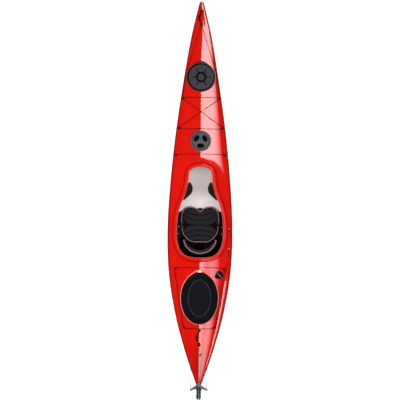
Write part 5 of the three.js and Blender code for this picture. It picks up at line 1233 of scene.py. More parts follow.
@dataclass
class Lids(SubAssembly):
    """The hatch lids, each with its own relief.

    Reliefs are in mm. A bump is a row of height, share from the centre and spread.
    """

    wall: float = 0.004
    skirt: float = 0.01
    gap: float = 0.0003
    plug_inset: float = 0.0146
    skirt_grow: float = 0.0004
    edge_rise: float = 0.4
    core: float = 0.012
    edge_start: float = 0.992
    ring_ease: float = 0.95
    fineness: int = 64
    sharp: float = 38.0
    day_grow: float = -0.004
    inner_shares: tuple[float, float] = (0.605, 0.71)
    line_radius: float = 0.0019
    line_sunk: float = 0.0008
    line_steps: int = 120
    groove_from: float = 1.9
    facing_up: float = 0.5
    bow_dome: Dome = Dome(5.2, 3.2, 2)
    bow_dish: float = 1.6
    bow_dish_run: tuple[float, float] = (0.3, 0.26)
    bow_bumps: Bumps = ((1.4, 0.945, 0.04), (-5.6, 0.33, 0.045), (1.6, 0.13, 0.05), (-5.2, 0.95, 0.045))
    spokes: int = 6
    spoke_depth: float = 5.4
    spoke_half: float = 4.2
    spoke_runs: Rows = ((0.36, 0.44), (0.74, 0.66))
    day_dome: Dome = Dome(5.4, 4.6, 3)
    day_groove: tuple[float, float, float] = (-3.4, 0.9, 0.03)
    recesses: int = 3
    recess_share: float = 0.52
    recess_stretch: float = 0.22
    recess_depth: float = 7.4
    recess_floor: float = 2.6
    recess_runs: Rows = ((28, 23), (13, 8))
    stern_base: float = 1.6
    stern_crown: float = 1.2
    stern_rise: float = 3.4
    stern_run: tuple[float, float] = (1.06, 0.97)
    stern_bumps: Bumps = ((1.2, 0.95, 0.035), (-1.0, 0.88, 0.018))
    stern_line: tuple[float, float, float] = (1.0, 1.0, 0.03)

    def build(self) -> None:
        """Makes the three lids."""
        bow, day, stern = HATCHES
        self._lid(bow, self._bow_height, RUBBER_GREY, 0.0)
        self._lid(day, self._day_height, LID_GREY, self.day_grow)
        self._lid(stern, self._stern_height, RUBBER_BLACK, 0.0)

    def _lid(self, hatch: Hatch, height: Relief, finish: Finish, grow: float) -> None:
        """One lid: a skirt round a relief.

        Args:
            hatch: the hatch it closes.
            height: rise over the lid's wall at a share from the centre and a turn round it.
            finish: its finish.
            grow: how far its edge is moved out from the hatch's outline.
        """
        under = hatch.top + self.gap
        plug = hatch.zone is Zone.DAY
        inner = -self.plug_inset if plug else self.gap - self.wall
        hem = hatch.top - self.skirt
        core, inside = hatch.oval(0, self.core), hatch.oval(inner)
        if plug:
            rows = [(core, hem), (inside, hem), (inside, under), (hatch.oval(grow), under)]
        else:
            rows = [(core, under), (inside, under), (inside, hem), (hatch.oval(self.skirt_grow), hem)]
        rows.append((hatch.oval(grow), under + self.wall * self.edge_rise))
        rings = [[Vector((p.x, p.y, z)) for p in ring] for ring, z in rows]
        edge = 1 + grow / hatch.half_width
        for k in range(self.fineness + 1):
            share = mix(edge * self.edge_start, self.core, (k / self.fineness) ** self.ring_ease)
            ring = hatch.oval(0, share)
            for i, p in enumerate(ring):
                turn = 2 * math.pi * i / len(ring)
                p.z = under + self.wall + height(share / edge, turn) * MM
            rings.append(ring)
        name = f"{hatch.zone.value}_lid"
        lid = loft(f"{name}_cover", rings, finish, body=name, sharp=self.sharp)
        # Steep faces and the grooves and recesses take painted shade.
        paint(lid, (LID_PAINTED_SHADE, LID_INNER), lambda p, n: self._part(hatch, height, edge, p, n))
        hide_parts(f"{hatch.zone.value}_hatch_lid")
        if hatch.zone is Zone.STERN:
            self._line(hatch, under + self.wall, edge)
        LOG.info("%s built", name)

    def _line(self, hatch: Hatch, base: float, edge: float) -> None:
        """A fine bead round the stern lid's raised middle, in a paler grey: a painted highlight."""
        path = []
        for k in range(self.line_steps):
            turn = 2 * math.pi * k / self.line_steps
            across, along = self.inner_shares[0] * math.sin(turn), self.inner_shares[1] * math.cos(turn)
            share, way = math.hypot(across, along) / edge, math.atan2(across, along)
            z = base + self._stern_height(share, way) * MM - self.line_sunk
            path.append(Vector((across * hatch.half_width, hatch.y + along * hatch.half_length, z)))
        dress(tube("stern_lid_line", path, self.line_radius, closed=True, body="stern_lid"), LID_LINE_HIGHLIGHT)

    def _part(self, hatch: Hatch, height: Relief, edge: float, place: Vector, normal: Vector) -> int:
        """Which finish a face of a lid takes: its own, painted shade on steep faces and in the grooves and
        recesses, or the raised middle's.
        """
        across, along = place.x / hatch.half_width, (place.y - hatch.y) / hatch.half_length
        share = math.hypot(across, along) / edge
        if normal.z < self.facing_up:
            return 1
        if hatch.zone is Zone.STERN:
            inner = math.hypot(across / self.inner_shares[0], along / self.inner_shares[1])
            return 2 if inner < 1 else 0
        dome = self.bow_dome if hatch.zone is Zone.BOW else self.day_dome
        return int(height(share, math.atan2(across, along)) < dome.at(share) - self.groove_from)

    def _bow_height(self, share: float, turn: float) -> float:
        """Radial grooves between a raised edge and a dished centre ring, in mm."""
        rise = self.bow_dome.at(share) + bumps(self.bow_bumps, share)
        rise -= self.bow_dish * smooth_step(*self.bow_dish_run, share)
        within = math.prod(smooth_step(*run, share) for run in self.spoke_runs)
        for k in range(self.spokes):
            angle = turn - math.pi / self.spokes - 2 * math.pi * k / self.spokes
            if math.cos(angle) > 0:
                across = share * math.sin(angle) * HATCHES[0].half_width / MM
                rise -= self.spoke_depth * ridge(across, 0, self.spoke_half) * within
        return rise

    def _day_height(self, share: float, turn: float) -> float:
        """A domed lid with three finger recesses, in mm."""
        rise = self.day_dome.at(share) + bumps((self.day_groove,), share)
        radius = (HATCHES[1].half_width + self.day_grow) / MM
        for k in range(self.recesses):
            angle = math.pi + k * 2 * math.pi / self.recesses
            dx = (share * math.sin(turn) - self.recess_share * math.sin(angle)) * radius
            dy = (share * math.cos(turn) - self.recess_share * math.cos(angle)) * radius
            round_it = math.atan2(dx, dy) - angle
            reach = math.hypot(dx, dy) * (1 + self.recess_stretch * math.cos(2 * round_it))
            hollow, floor = (smooth_step(*run, reach) for run in self.recess_runs)
            rise -= self.recess_depth * hollow - self.recess_floor * floor
        return rise

    def _stern_height(self, share: float, turn: float) -> float:
        """A raised inner oval inside a lower edge, in mm."""
        wide, long = self.inner_shares
        inner = share * math.hypot(math.sin(turn) / wide, math.cos(turn) / long)
        rise = self.stern_base + bumps(self.stern_bumps, share) + self.stern_crown * (1 - share ** 2)
        return rise + self.stern_rise * smooth_step(*self.stern_run, inner) + bumps((self.stern_line,), inner)


FOAM_VOXEL = 0.0035
FOAM_SWELL = 0.0012
FOAM_WAVE = 18.0
FOAM_UNEVEN = 0.0012


def soften(node: str, name: str, finish: Finish, rounding: int = 10) -> Piece:
    """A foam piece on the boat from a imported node's form: remeshed finely, rounded and slightly swollen.

    Args:
        node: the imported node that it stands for.
        name: the piece's name.
        finish: its finish.
        rounding: how many smoothing passes its edges get.

    Returns:
        The foam piece.
    """
    source = frame["nodes"][node].data
    points = [v.co.copy() for v in source.vertices]
    piece = new_piece(name, points, [list(p.vertices) for p in source.polygons])
    voxels = piece.modifiers.new("voxels", "REMESH")
    voxels.mode = "VOXEL"
    voxels.voxel_size = FOAM_VOXEL
    voxels.use_smooth_shade = True
    smooth = piece.modifiers.new("smooth", "SMOOTH")
    smooth.iterations = rounding
    smooth.factor = 0.5
    swell = piece.modifiers.new("swell", "DISPLACE")
    swell.strength = FOAM_SWELL
    swell.mid_level = 0.0
    bake_modifiers(piece)
    for vertex in piece.data.vertices:
        vertex.co += vertex.normal * (noise.noise(vertex.co * FOAM_WAVE) * FOAM_UNEVEN)
    dress(piece, finish)
    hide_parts(node)
    LOG.info("%s softened", name)
    return piece


@dataclass
class Seat(SubAssembly):
    """The quilted cushion with its piping, the hip pads, and a black liner round the seat that stands partly
    for the seat's dark side wings and partly for painted shade.
    """

    front_y: float = -0.062
    rear_y: float = -0.398
    half_width: float = 0.182
    bottom: float = 0.0323
    side_height: float = 0.0663
    crown: float = 0.009
    channel_pitch: float = 0.048
    seam_behind: float = 0.006
    valley: float = 0.46
    channel_depth: float = 0.0085
    bend: float = 0.06
    outline_shares: Rows = (
        (0, 0.88), (0.16, 0.95), (0.3, 0.975), (0.58, 1), (0.84, 0.93), (0.98, 0.78), (1, 0.6), (0.96, 0.36),
        (0.88, 0.22), (0.66, 0.08), (0.44, 0.01), (0, 0),
    )
    steps: int = 360
    core: float = 0.015
    top_rings: int = 80
    sides: Rows = ((0.02, 0), (0.9, 0), (0.965, 0.1), (0.992, 0.35), (1.0, 0.62), (1.0, 0.8))
    sway_half: float = 0.05
    fullness: float = 0.55
    ridge_share: float = 0.45
    button_from: float = 0.07
    button_radius: float = 0.03
    button_spread: float = 0.3
    button_share: float = 0.7
    pucker_wave: float = 22.0
    pucker_depth: float = 0.0012
    edge_drop: float = 0.0035
    hip_fill: float = 0.9
    piping_radius: float = 0.0034
    piping_drop: float = 0.0022
    piping_inset: float = 0.001
    piping_steps: int = 200
    liner_run: tuple[float, float] = (-0.155, -0.6)
    liner_bow: float = 0.085
    liner_stations: int = 40
    liner_up_share: float = 0.5
    liner_gap: float = 0.0055
    liner_wall: float = 0.0016

    def build(self) -> None:
        """Makes the cushion, piping, hip pads and liner."""
        self._cushion()
        for side in Side:
            soften(f"hip_pad_{side.suffix}", f"hip_foam_{side.suffix}", FOAM_DARK)
        self._liner()

    def _outline(self) -> Ring:
        """The cushion's edge in plan."""
        length = self.front_y - self.rear_y
        return half_outline(self.outline_shares, self.half_width, length, self.rear_y, self.steps)

    def pillow(self, x: float, y: float) -> float:
        """How full a channel is at a place, from 0 in its seam to 1 on its ridge."""
        middle = (self.front_y + self.rear_y) / 2 - self.seam_behind
        sway = mix(-1, 1, smooth_step(middle - self.sway_half, middle + self.sway_half, y))
        along = y - sway * self.bend * (abs(x) / self.half_width) ** 2
        return abs(math.sin(math.pi * (along - middle) / self.channel_pitch)) ** self.fullness

    def top(self, x: float, y: float, share: float) -> float:
        """Height of the cushion's top at a place, by its share from the middle to the edge."""
        inside = 1 - share ** 6
        tail = math.hypot(x, y - (self.rear_y + self.button_from)) / self.button_radius
        button = self.channel_depth * ridge(tail, 1, self.button_spread)
        pucker = noise.noise(Vector((x, y, 0)) * self.pucker_wave) * self.pucker_depth
        channel = self.channel_depth * (self.pillow(x, y) - self.ridge_share)
        rise = self.crown * (1 - share ** 2) + channel - button * self.button_share
        return self.side_height + (rise + pucker) * inside - self.edge_drop * share ** 8

    def _cushion(self) -> None:
        """The cushion's body, with painted shade in its channels, and its piping."""
        outline = self._outline()
        centre = Vector((0, (self.front_y + self.rear_y) / 2, 0))
        rings = []
        for share, up in self.sides:
            z = mix(self.bottom, self.side_height, up)
            rings.append([centre.lerp(p, share) + Vector((0, 0, z)) for p in outline])
        for k in range(self.top_rings + 1):
            share = mix(1, self.core, k / self.top_rings)
            ring = [centre.lerp(p, share) for p in outline]
            rings.append([Vector((p.x, p.y, self.top(p.x, p.y, share))) for p in ring])
        cushion = dress(new_piece("seat_pad", *bridge(rings)), CLOTH_BLACK)
        # Faces low in the channels take the darker cloth: painted shade.
        paint(cushion, (CLOTH_PAINTED_SHADE,), lambda p, n: int(self.pillow(p.x, p.y) < self.valley))
        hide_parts("seat_cushion")
        level = self.side_height - self.piping_drop
        edge = [Vector((p.x, p.y, level)) for p in moved_out(outline, -self.piping_inset)]
        rail = smooth_loop(edge, self.piping_steps)
        dress(tube("seat_piping", rail, self.piping_radius, sides=8, closed=True), PIPING_ROSE)
        LOG.info("seat cushion built")

    def _liner(self) -> None:
        """A thin black moulding on the hull's inside, beside and behind the seat, which stands partly for the
        seat's dark side wings and partly for painted shade.
        """
        rings = []
        for i in range(self.liner_stations):
            along = i / (self.liner_stations - 1)
            form = self.form.near(mix(*self.liner_run, along))
            top = form.sheer * self.liner_up_share
            half = [p for p in self.form.hull_half(form, HULL_STEPS) if p.z < top]
            skins = []
            for gap in (self.liner_gap, self.liner_gap + self.liner_wall):
                inward = 1 - gap / form.half_beam
                skin = []
                for p in mirror_ring(half):
                    bow = self.liner_bow * (1 - along) * (1 - (p.x / form.half_beam) ** 2)
                    skin.append(Vector((p.x * inward, p.y + bow, p.z + gap)))
                skins.append(skin)
            rings.append([*skins[0], *reversed(skins[1])])
        loft("seat_liner", rings, BLACK_LINER_AND_SHADE)


@dataclass
class BackRest(SubAssembly):
    """The padded band behind the paddler, with its piping."""

    centre_y: float = -0.34
    radius: float = 0.13
    thickness: float = 0.024
    bottom: float = 0.092
    height: float = 0.15
    lean: float = 0.024
    sweep: float = math.radians(75)
    across_steps: int = 90
    up_steps: int = 22
    taper_power: int = 4
    channels: int = 3
    least_fullness: float = 0.3
    channel_share: float = 0.16
    round_run: tuple[float, float] = (0.04, 0.96)
    piping_radius: float = 0.0038
    piping_up: float = 0.985
    piping_ends: tuple[float, float] = (0.4, 0.7)
    piping_depth: float = 0.42
    piping_corners: int = 20
    piping_steps: int = 200

    def build(self) -> None:
        """Makes the pad and its piping."""
        rings = [self._section(mix(-1, 1, i / self.across_steps)) for i in range(self.across_steps + 1)]
        pad = dress(new_piece("back_pad", *bridge(rings), body="backrest"), CLOTH_BLACK)
        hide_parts("backrest_pad")
        self._piping()
        LOG.info("back rest built")

    def _place(self, across: float, up: float, depth: float) -> Vector:
        """A point of the band.

        Args:
            across: from -1 at port to 1 at starboard.
            up: from 0 at the bottom to 1 at the top.
            depth: from 0 at the front face to 1 at the back.

        Returns:
            The point.
        """
        angle = across * self.sweep
        tall = 1 - abs(across) ** self.taper_power / 3
        z = self.bottom + self.height * (0.5 + (up - 0.5) * tall)
        r = self.radius + self.thickness * depth + self.lean * (z - self.bottom) / self.height
        return Vector((r * math.sin(angle), self.centre_y - r * math.cos(angle), z))

    def _section(self, across: float) -> Ring:
        """One upright section: a plump front with channels, a round top and a flat back."""
        ring = []
        for k in range(self.up_steps + 1):
            up = k / self.up_steps
            plump = max(math.sin(math.pi * mix(*self.round_run, up)), 0.0) ** 0.5
            valley = 1 - abs(math.sin(math.pi * self.channels * up)) ** 0.5
            full = plump * (1 - abs(across) ** 6)
            depth = 1 - mix(self.least_fullness, 1, full) + self.channel_share * valley * full
            ring.append(self._place(across, up, depth))
        for k in range(self.up_steps, -1, -1):
            ring.append(self._place(across, k / self.up_steps, 1.0))
        return ring

    def _piping(self) -> None:
        """The pale piping round the front face's edge."""
        shares = [mix(-1, 1, i / self.piping_corners) for i in range(self.piping_corners + 1)]
        tops = [self._place(share, self.piping_up, self.piping_depth) for share in shares]
        ends = [[self._place(side, up, self.piping_depth) for up in self.piping_ends] for side in (-1, 1)]
        path = smooth_loop([*ends[0], *tops, *reversed(ends[1])], self.piping_steps, closed=False)
        dress(tube("back_piping", path, self.piping_radius, body="backrest", sides=8), PIPING_ROSE)


@dataclass
class ThighBraces(SubAssembly):
    """The half-moon foam pads under the coaming, with their bolts and the bolts of the seat's hangers."""

    fullness: float = 0.012
    full_run: tuple[float, float] = (0.135, 0.085)
    fill: float = 0.85
    rounding: int = 8
    bolt_lift: float = 0.0292
    bolts: Rows = ((-0.148, 0.139), (-0.176, 0.024), (0.148, 0.139), (0.178, 0.024))
    hanger_bolts: Rows = ((-0.206, -0.249), (-0.206, -0.316), (0.206, -0.253), (0.206, -0.316))

    def build(self) -> None:
        """Makes both pads and the bolts."""
        for side in Side:
            node = f"thigh_brace_{side.suffix}"
            foam = soften(node, f"thigh_foam_{side.suffix}", FOAM_BLACK, self.rounding)
            for vertex in foam.data.vertices:
                inside = smooth_step(*self.full_run, abs(vertex.co.x))
                vertex.co.x -= math.copysign(self.fullness * inside, vertex.co.x)
        for i, (x, y) in enumerate(self.bolts):
            screw_head(f"brace_bolt_{i + 1}", self.form.on_deck(x, y, self.bolt_lift), BOLT_RADIUS, BOLT_PALE)
        hanger_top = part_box("seat_pan")[1].z
        for i, (x, y) in enumerate(self.hanger_bolts):
            screw_head(f"hanger_bolt_{i + 1}", Vector((x, y, hanger_top)), BOLT_RADIUS, STEEL)


# A screw head in shares of its radius: its outline from the edge to the middle, and its cross recess

SCREW_PROFILE = ((1.0, 0.0), (1.0, 0.12), (0.93, 0.28), (0.72, 0.44), (0.4, 0.54), (0.0, 0.57))
SCREW_SIDES = 32
RECESS_SHARE = 0.5
RECESS_NARROWNESS = 12
RECESS_DEPTH = 0.3


def screw_head(name: str, at: Vector, radius: float, finish: Finish, body: str = "boat",
               up: Vector = Vector((0, 0, 1))) -> Piece:
    """A domed screw head with a cross recess.

    Args:
        name: its name.
        at: the middle of its foot.
        radius: its radius.
        finish: its finish.
        body: the body that carries it.
        up: the way it faces.

    Returns:
        The screw head.
    """
    turn = up.to_track_quat("Z", "Y").to_matrix()
    rings = []
    for across, rise in SCREW_PROFILE:
        ring = []
        for k in range(SCREW_SIDES):
            angle = 2 * math.pi * k / SCREW_SIDES
            slot = abs(math.cos(2 * angle)) ** RECESS_NARROWNESS if across < RECESS_SHARE else 0.0
            place = Vector((across * math.cos(angle), across * math.sin(angle), rise - slot * RECESS_DEPTH))
            ring.append(at + turn @ (place * radius))
        rings.append(ring)
    return loft(name, rings, finish, body=body)


@dataclass
class Rigging(SubAssembly):
    """Deck fittings, cords, carry handles and their screws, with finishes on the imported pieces."""

    fitting_screw: float = 0.0032
    handle_screw: float = 0.0034
    fitting_bevel: float = 0.0008
    handle_bevel: float = 0.0012
    pad_sides: int = 40
    pad_half: tuple[float, float] = (0.0145, 0.0195)
    pad_profile: Rows = ((1.0, -0.001), (1.0, 0.0008), (0.9, 0.0016), (0.2, 0.0016))
    pad_thickness: float = 0.0026
    cord_nodes: tuple[str, ...] = (
        "front_bungee", "knee_deck_line", "aft_deck_line", "bow_deck_line", "lift_line",
    )

    def build(self) -> None:
        """Dresses fittings and cords and adds the screws."""
        fittings = [f"{zone}_fitting_{i}_{side}" for zone, most in (("front", 3), ("aft", 2))
                    for i in range(1, most + 1) for side in ("left", "right")]
        dress_nodes(fittings, PLASTIC_BLACK, self.fitting_bevel)
        for name in fittings:
            self._screw(name, self.fitting_screw, PLASTIC_BLACK)
        self._cords(self.cord_nodes, CORD_DARK)
        for handle in ("bow_handle", "stern_handle"):
            ends = [f"{handle}_fitting_{i}" for i in (1, 2)]
            dress_nodes(ends, PLASTIC_BLACK, self.handle_bevel)
            self._cords([handle], CORD_BLACK)
            for name in ends:
                self._screw(name, self.handle_screw, STEEL)
                self._pad(name)

    def _cords(self, names: Sequence[str], finish: Finish) -> None:
        """Dresses packed cords and rounds their sides."""
        dress_nodes(names, finish)
        for name in names:
            rounding = frame["nodes"][name].modifiers.new("fine", "SUBSURF")
            rounding.levels = rounding.render_levels = 2

    def _pad(self, node: str) -> None:
        """A dark rubber pad on the deck under a handle's fitting."""
        middle = middle_of(node)
        turns = [2 * math.pi * k / self.pad_sides for k in range(self.pad_sides)]
        rings = []
        for share, lift in self.pad_profile:
            wide, long = (half * share for half in self.pad_half)
            places = [(middle.x + wide * math.sin(t), middle.y + long * math.cos(t)) for t in turns]
            rings.append([self.form.on_deck(x, y, lift) for x, y in places])
        rings.append([Vector((p.x, p.y, p.z - self.pad_thickness)) for p in rings[-1]])
        loft(f"{node}_pad", rings, RUBBER_BLACK)

    def _screw(self, node: str, radius: float, finish: Finish) -> None:
        """A screw head on top of a packed fitting."""
        at = middle_of(node)
        at.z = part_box(node)[1].z
        screw_head(f"{node}_screw", at, radius, finish)


@dataclass
class Controls(SubAssembly):
    """The security bar with a black patch of painted shade for its recess, and the rudder lift's track and
    knob, with painted shade in its slot.
    """

    looks: Looks = (
        ("security_bar", PLASTIC_BLACK, 0.0008), ("lift_track", RIM_RED, 0.0008),
        ("lift_knob", PLASTIC_BLACK, 0.0008),
    )
    recess_corners: int = 9
    recess_steps: int = 72
    recess_radius: float = 0.045
    recess_waist: float = 0.8
    recess_behind: float = 0.003
    recess_lift: float = 0.0006
    recess_sunk: float = 0.002
    recess_wall: float = 0.001
    bar_reach: float = 0.024
    bar_lift: float = 0.001
    bar_drop: float = 0.012
    bar_radius: float = 0.0028
    bar_steps: int = 8
    slot_run: tuple[float, float] = (-0.466, -0.53)
    slot_radius: float = 0.0055
    slot_sunk: float = 0.0005
    track_height: float = 0.007
    track_screws: tuple[float, float] = (0.006, 0.01)

    def build(self) -> None:
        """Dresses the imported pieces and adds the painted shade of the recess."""
        dress_all(self.looks)
        self._bar()
        self._recess()
        x = middle_of("lift_track").x
        front, rear = self.track_screws
        for i, y in enumerate((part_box("lift_track")[1].y - front, self.slot_run[0] + rear)):
            screw_head(f"track_screw_{i + 1}", Vector((x, y, self._track_top(y))), BOLT_RADIUS, STEEL)
        ys = [mix(*self.slot_run, k / self.bar_steps) for k in range(self.bar_steps + 1)]
        path = [Vector((x, y, self._track_top(y) - self.slot_sunk)) for y in ys]
        # A black tube in the track's slot: painted shade.
        dress(tube("track_slot", path, self.slot_radius, sides=16), BLACK_LINER_AND_SHADE)

    def _bar(self) -> None:
        """The steel bar across the security fitting."""
        middle = middle_of("security_bar")
        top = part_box("security_bar")[1].z + self.bar_lift
        path = []
        for k in range(self.bar_steps + 1):
            t = mix(-1, 1, k / self.bar_steps)
            reach = self.bar_reach * t
            path.append(Vector((middle.x + reach, middle.y - reach, top - self.bar_drop * t ** 4)))
        dress(tube("security_rod", path, self.bar_radius), STEEL_DULL)

    def _track_top(self, y: float) -> float:
        """Height of the track's top at a place along it."""
        low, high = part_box("lift_track")
        return mix(low.z + self.track_height, high.z, (y - low.y) / (high.y - low.y))

    def _recess(self) -> None:
        """A black three-cornered patch on the deck under the security bar: painted shade for its recess."""
        middle = middle_of("security_bar")
        centre = Vector((middle.x, middle.y - self.recess_behind, 0))
        corners = []
        for i in range(self.recess_corners):
            turn = math.pi / 2 + 2 * math.pi * i / self.recess_corners
            reach = self.recess_radius * (self.recess_waist if i % 3 else 1.0)
            corners.append(centre + Vector((math.cos(turn), math.sin(turn), 0)) * reach)
        edge = smooth_loop(corners, self.recess_steps)
        lift = self.recess_lift
        rings = []
        steps = ((1.0, -self.recess_sunk), (1.0, lift), (0.9, lift * 2), (0.5, lift), (0.05, lift))
        for share, rise in steps:
            rings.append([self.form.on_deck(p.x, p.y, rise) for p in (centre.lerp(q, share) for q in edge)])
        rings.append([Vector((p.x, p.y, p.z - self.recess_wall)) for p in rings[-1]])
        loft("security_recess", rings, BLACK_LINER_AND_SHADE)


@dataclass
class Inside(SubAssembly):
    """What stands inside the boat: bulkheads, pod, seat tray, backrest frame and foot rests."""

    looks: Looks = (
        ("front_bulkhead", FOAM_GREY, 0), ("rear_bulkhead", FOAM_GREY, 0),
        ("day_hatch_pod", PLASTIC_BLACK, 0.0008), ("seat_pan", PLASTIC_BLACK, 0.0008),
        ("backrest_frame", PLASTIC_BLACK, 0.0008),
        ("foot_rail_{side}", ALLOY, 0.0006), ("foot_carriage_{side}", PLASTIC_BLACK, 0.001),
        ("foot_pedal_{side}", PLASTIC_BLACK, 0.0015),
    )
    pedal_half_thickness: float = 0.0045
    treads: int = 6
    tread_radius: float = 0.0016
    tread_margins: tuple[float, float] = (0.045, 0.012)
    tread_inset: float = 0.008

    def build(self) -> None:
        """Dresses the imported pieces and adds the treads."""
        dress_all(self.looks)
        for side in Side:
            self._treads(f"foot_pedal_{side.suffix}", f"pedal_{side.suffix}")

    def _treads(self, name: str, body: str) -> None:
        """Raised ribs on a pedal's face, which the foot presses."""
        low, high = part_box(name)
        rear = (low.y + high.y) / 2 - self.pedal_half_thickness
        below, above = self.tread_margins
        for k in range(self.treads):
            z = mix(low.z + below, high.z - above, k / (self.treads - 1))
            xs = [mix(low.x + self.tread_inset, high.x - self.tread_inset, t) for t in (0, 0.5, 1)]
            path = [Vector((x, rear, z)) for x in xs]
            dress(tube(f"{name}_tread_{k + 1}", path, self.tread_radius, body, 10), PLASTIC_BLACK)


@dataclass
class Rudder(SubAssembly):
    """Rudder head, yoke, blade and bracket, with the steering cables and bolts."""

    looks: Looks = (
        ("stern_bracket", HEAD_GREY, 0.0008), ("rudder_yoke", ALLOY_YOKE, 0.0008),
        ("rudder_head", HEAD_GREY, 0.0015), ("rudder_blade", ALLOY_DARK, 0.0008),
        ("blade_rest", PLASTIC_BLACK, 0.0012),
        ("cable_outlet_{side}", PLASTIC_BLACK, 0.0006),
    )
    cable_radius: float = 0.0015
    cable_inset: float = 0.022
    cable_corners: int = 16
    cable_steps: int = 220
    run: tuple[float, float] = (0.24, -1.54)
    rail_inset: float = 0.012
    rail_reach: float = 0.03
    outlet_y: float = -1.61
    outlet_rise: float = 0.008
    eye_x: float = 0.0755
    eye_drop: float = 0.0005
    end_shares: tuple[float, float] = (0.35, 0.7)
    end_steps: int = 60
    sleeve_share: float = 2.6
    sleeve_run: tuple[float, float] = (0.66, 0.69)
    cheek_profile: Rows = ((0.0034, 0.001), (0.0044, 0), (0.0202, 0), (0.0222, 0.002))
    cheek_middle: float = 0.334
    cheek_half: float = 0.04
    cheek_inset: float = 0.008
    cheek_front: float = -1.782
    cheek_sides: int = 48
    squareness: float = 0.4
    pivot: tuple[float, float] = (-1.858, 0.3473)
    pivot_bolt: float = 0.008
    head_bolts: Rows = ((0.0125, -1.849), (0.0125, -1.878))
    head_bolt: float = 0.0055
    head_bolt_sunk: float = 0.0002

    def build(self) -> None:
        """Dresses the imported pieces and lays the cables."""
        dress_all(self.looks)
        for side in Side:
            self._cable(side)
        self._cheeks()

    def _cheeks(self) -> None:
        """The head's two thick cheeks, with bolts on top and a washer where the blade turns."""
        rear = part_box("rudder_head")[0].y + self.cheek_inset
        middle, half = (rear + self.cheek_front) / 2, (self.cheek_front - rear) / 2
        for side in Side:
            rings = []
            for across, inset in self.cheek_profile:
                ring = []
                for k in range(self.cheek_sides):
                    turn = 2 * math.pi * k / self.cheek_sides
                    y = middle + (half - inset) * self._squared(math.sin(turn))
                    z = self.cheek_middle + (self.cheek_half - inset) * self._squared(math.cos(turn))
                    ring.append(Vector((side.value * across, y, z)))
                rings.append(ring)
            loft(f"head_cheek_{side.suffix}", rings, HEAD_GREY, body="rudder")
            out = Vector((side.value, 0, 0))
            place = out * self.cheek_profile[-1][0] + Vector((0, *self.pivot))
            screw_head(f"blade_bolt_{side.suffix}", place, self.pivot_bolt, STEEL, body="rudder", up=out)
        top = self.cheek_middle + self.cheek_half - self.head_bolt_sunk
        for i, (x, y) in enumerate(self.head_bolts):
            screw_head(f"head_bolt_{i + 1}", Vector((x, y, top)), self.head_bolt, STEEL, body="rudder")

    def _squared(self, value: float) -> float:
        """A sine or cosine drawn out towards a square's sides."""
        return math.copysign(abs(value) ** self.squareness, value)

    def _cable(self, side: Side) -> None:
        """One steering cable: a part inside the boat, and an end that bends to the yoke."""
        sign, suffix = side.value, side.suffix
        cable_low, cable_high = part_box(f"rudder_cable_{suffix}")
        rail_low, rail_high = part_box(f"foot_rail_{suffix}")
        rail_x = (rail_high.x if sign > 0 else rail_low.x) - sign * self.rail_inset
        start = Vector((rail_x, cable_high.y, (rail_low.z + rail_high.z) / 2))
        corners = [start, start - Vector((0, self.rail_reach, 0))]
        for k in range(self.cable_corners):
            form = self.form.near(mix(*self.run, k / (self.cable_corners - 1)))
            x = sign * (form.half_beam - self.cable_inset)
            corners.append(Vector((x, form.y, form.sheer - self.cable_inset)))
        outlet = Vector((middle_of(f"cable_outlet_{suffix}").x, self.outlet_y,
                         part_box(f"cable_outlet_{suffix}")[0].z + self.outlet_rise))
        yoke_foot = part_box("rudder_yoke")[0].z
        eye = Vector((sign * self.eye_x, cable_low.y + self.cable_radius, yoke_foot - self.eye_drop))
        inner = smooth_loop([*corners, outlet], self.cable_steps, closed=False)
        dress(tube(f"cable_inside_{suffix}", inner, self.cable_radius, sides=8), STEEL)
        between = [outlet.lerp(eye, share) for share in self.end_shares]
        end = smooth_loop([outlet, *between, eye], self.end_steps, closed=False)
        tail = tube(f"cable_end_{suffix}", end, self._sleeve, sides=8)
        tail.parent = None
        del tail["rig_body"]
        dress(tail, STEEL)
        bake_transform(tail)
        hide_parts(f"rudder_cable_{suffix}")

    def _sleeve(self, along: float) -> float:
        """Radius of the cable's end: thin, then a crimped sleeve before the yoke."""
        sleeve = self.cable_radius * self.sleeve_share
        return mix(self.cable_radius, sleeve, smooth_step(*self.sleeve_run, along))


@dataclass(frozen=True)
class Lamp:
    """An area light: its place, its size, and its power in watts or, in a softbox, its brightness."""

    name: str
    place: tuple[float, float, float]
    size: tuple[float, float]
    power: float
    fade: float = 0.0
    slant: float = 0.0


SOFTBOXES = (
    Lamp("softbox_front", (3.05, 2.35, 4.21), (4.1, 3.0), 11.5, fade=0.5),
    Lamp("softbox_rear", (1.4, -2.05, 5.0), (3.1, 1.3), 13.5, fade=0.95, slant=8),
    Lamp("strip_rear", (2.66, -2.3, 4.48), (2.3, 0.38), 12.0, fade=0.5),
)
LAMPS = (
    Lamp("lamp_port", (-3.2, 0, 4.0), (7.0, 3.0), 82),
    Lamp("lamp_starboard", (3.2, 0, 4.0), (7.0, 3.0), 40),
    Lamp("lamp_top", (0, 0, 5.5), (6.0, 1.5), 235),
)


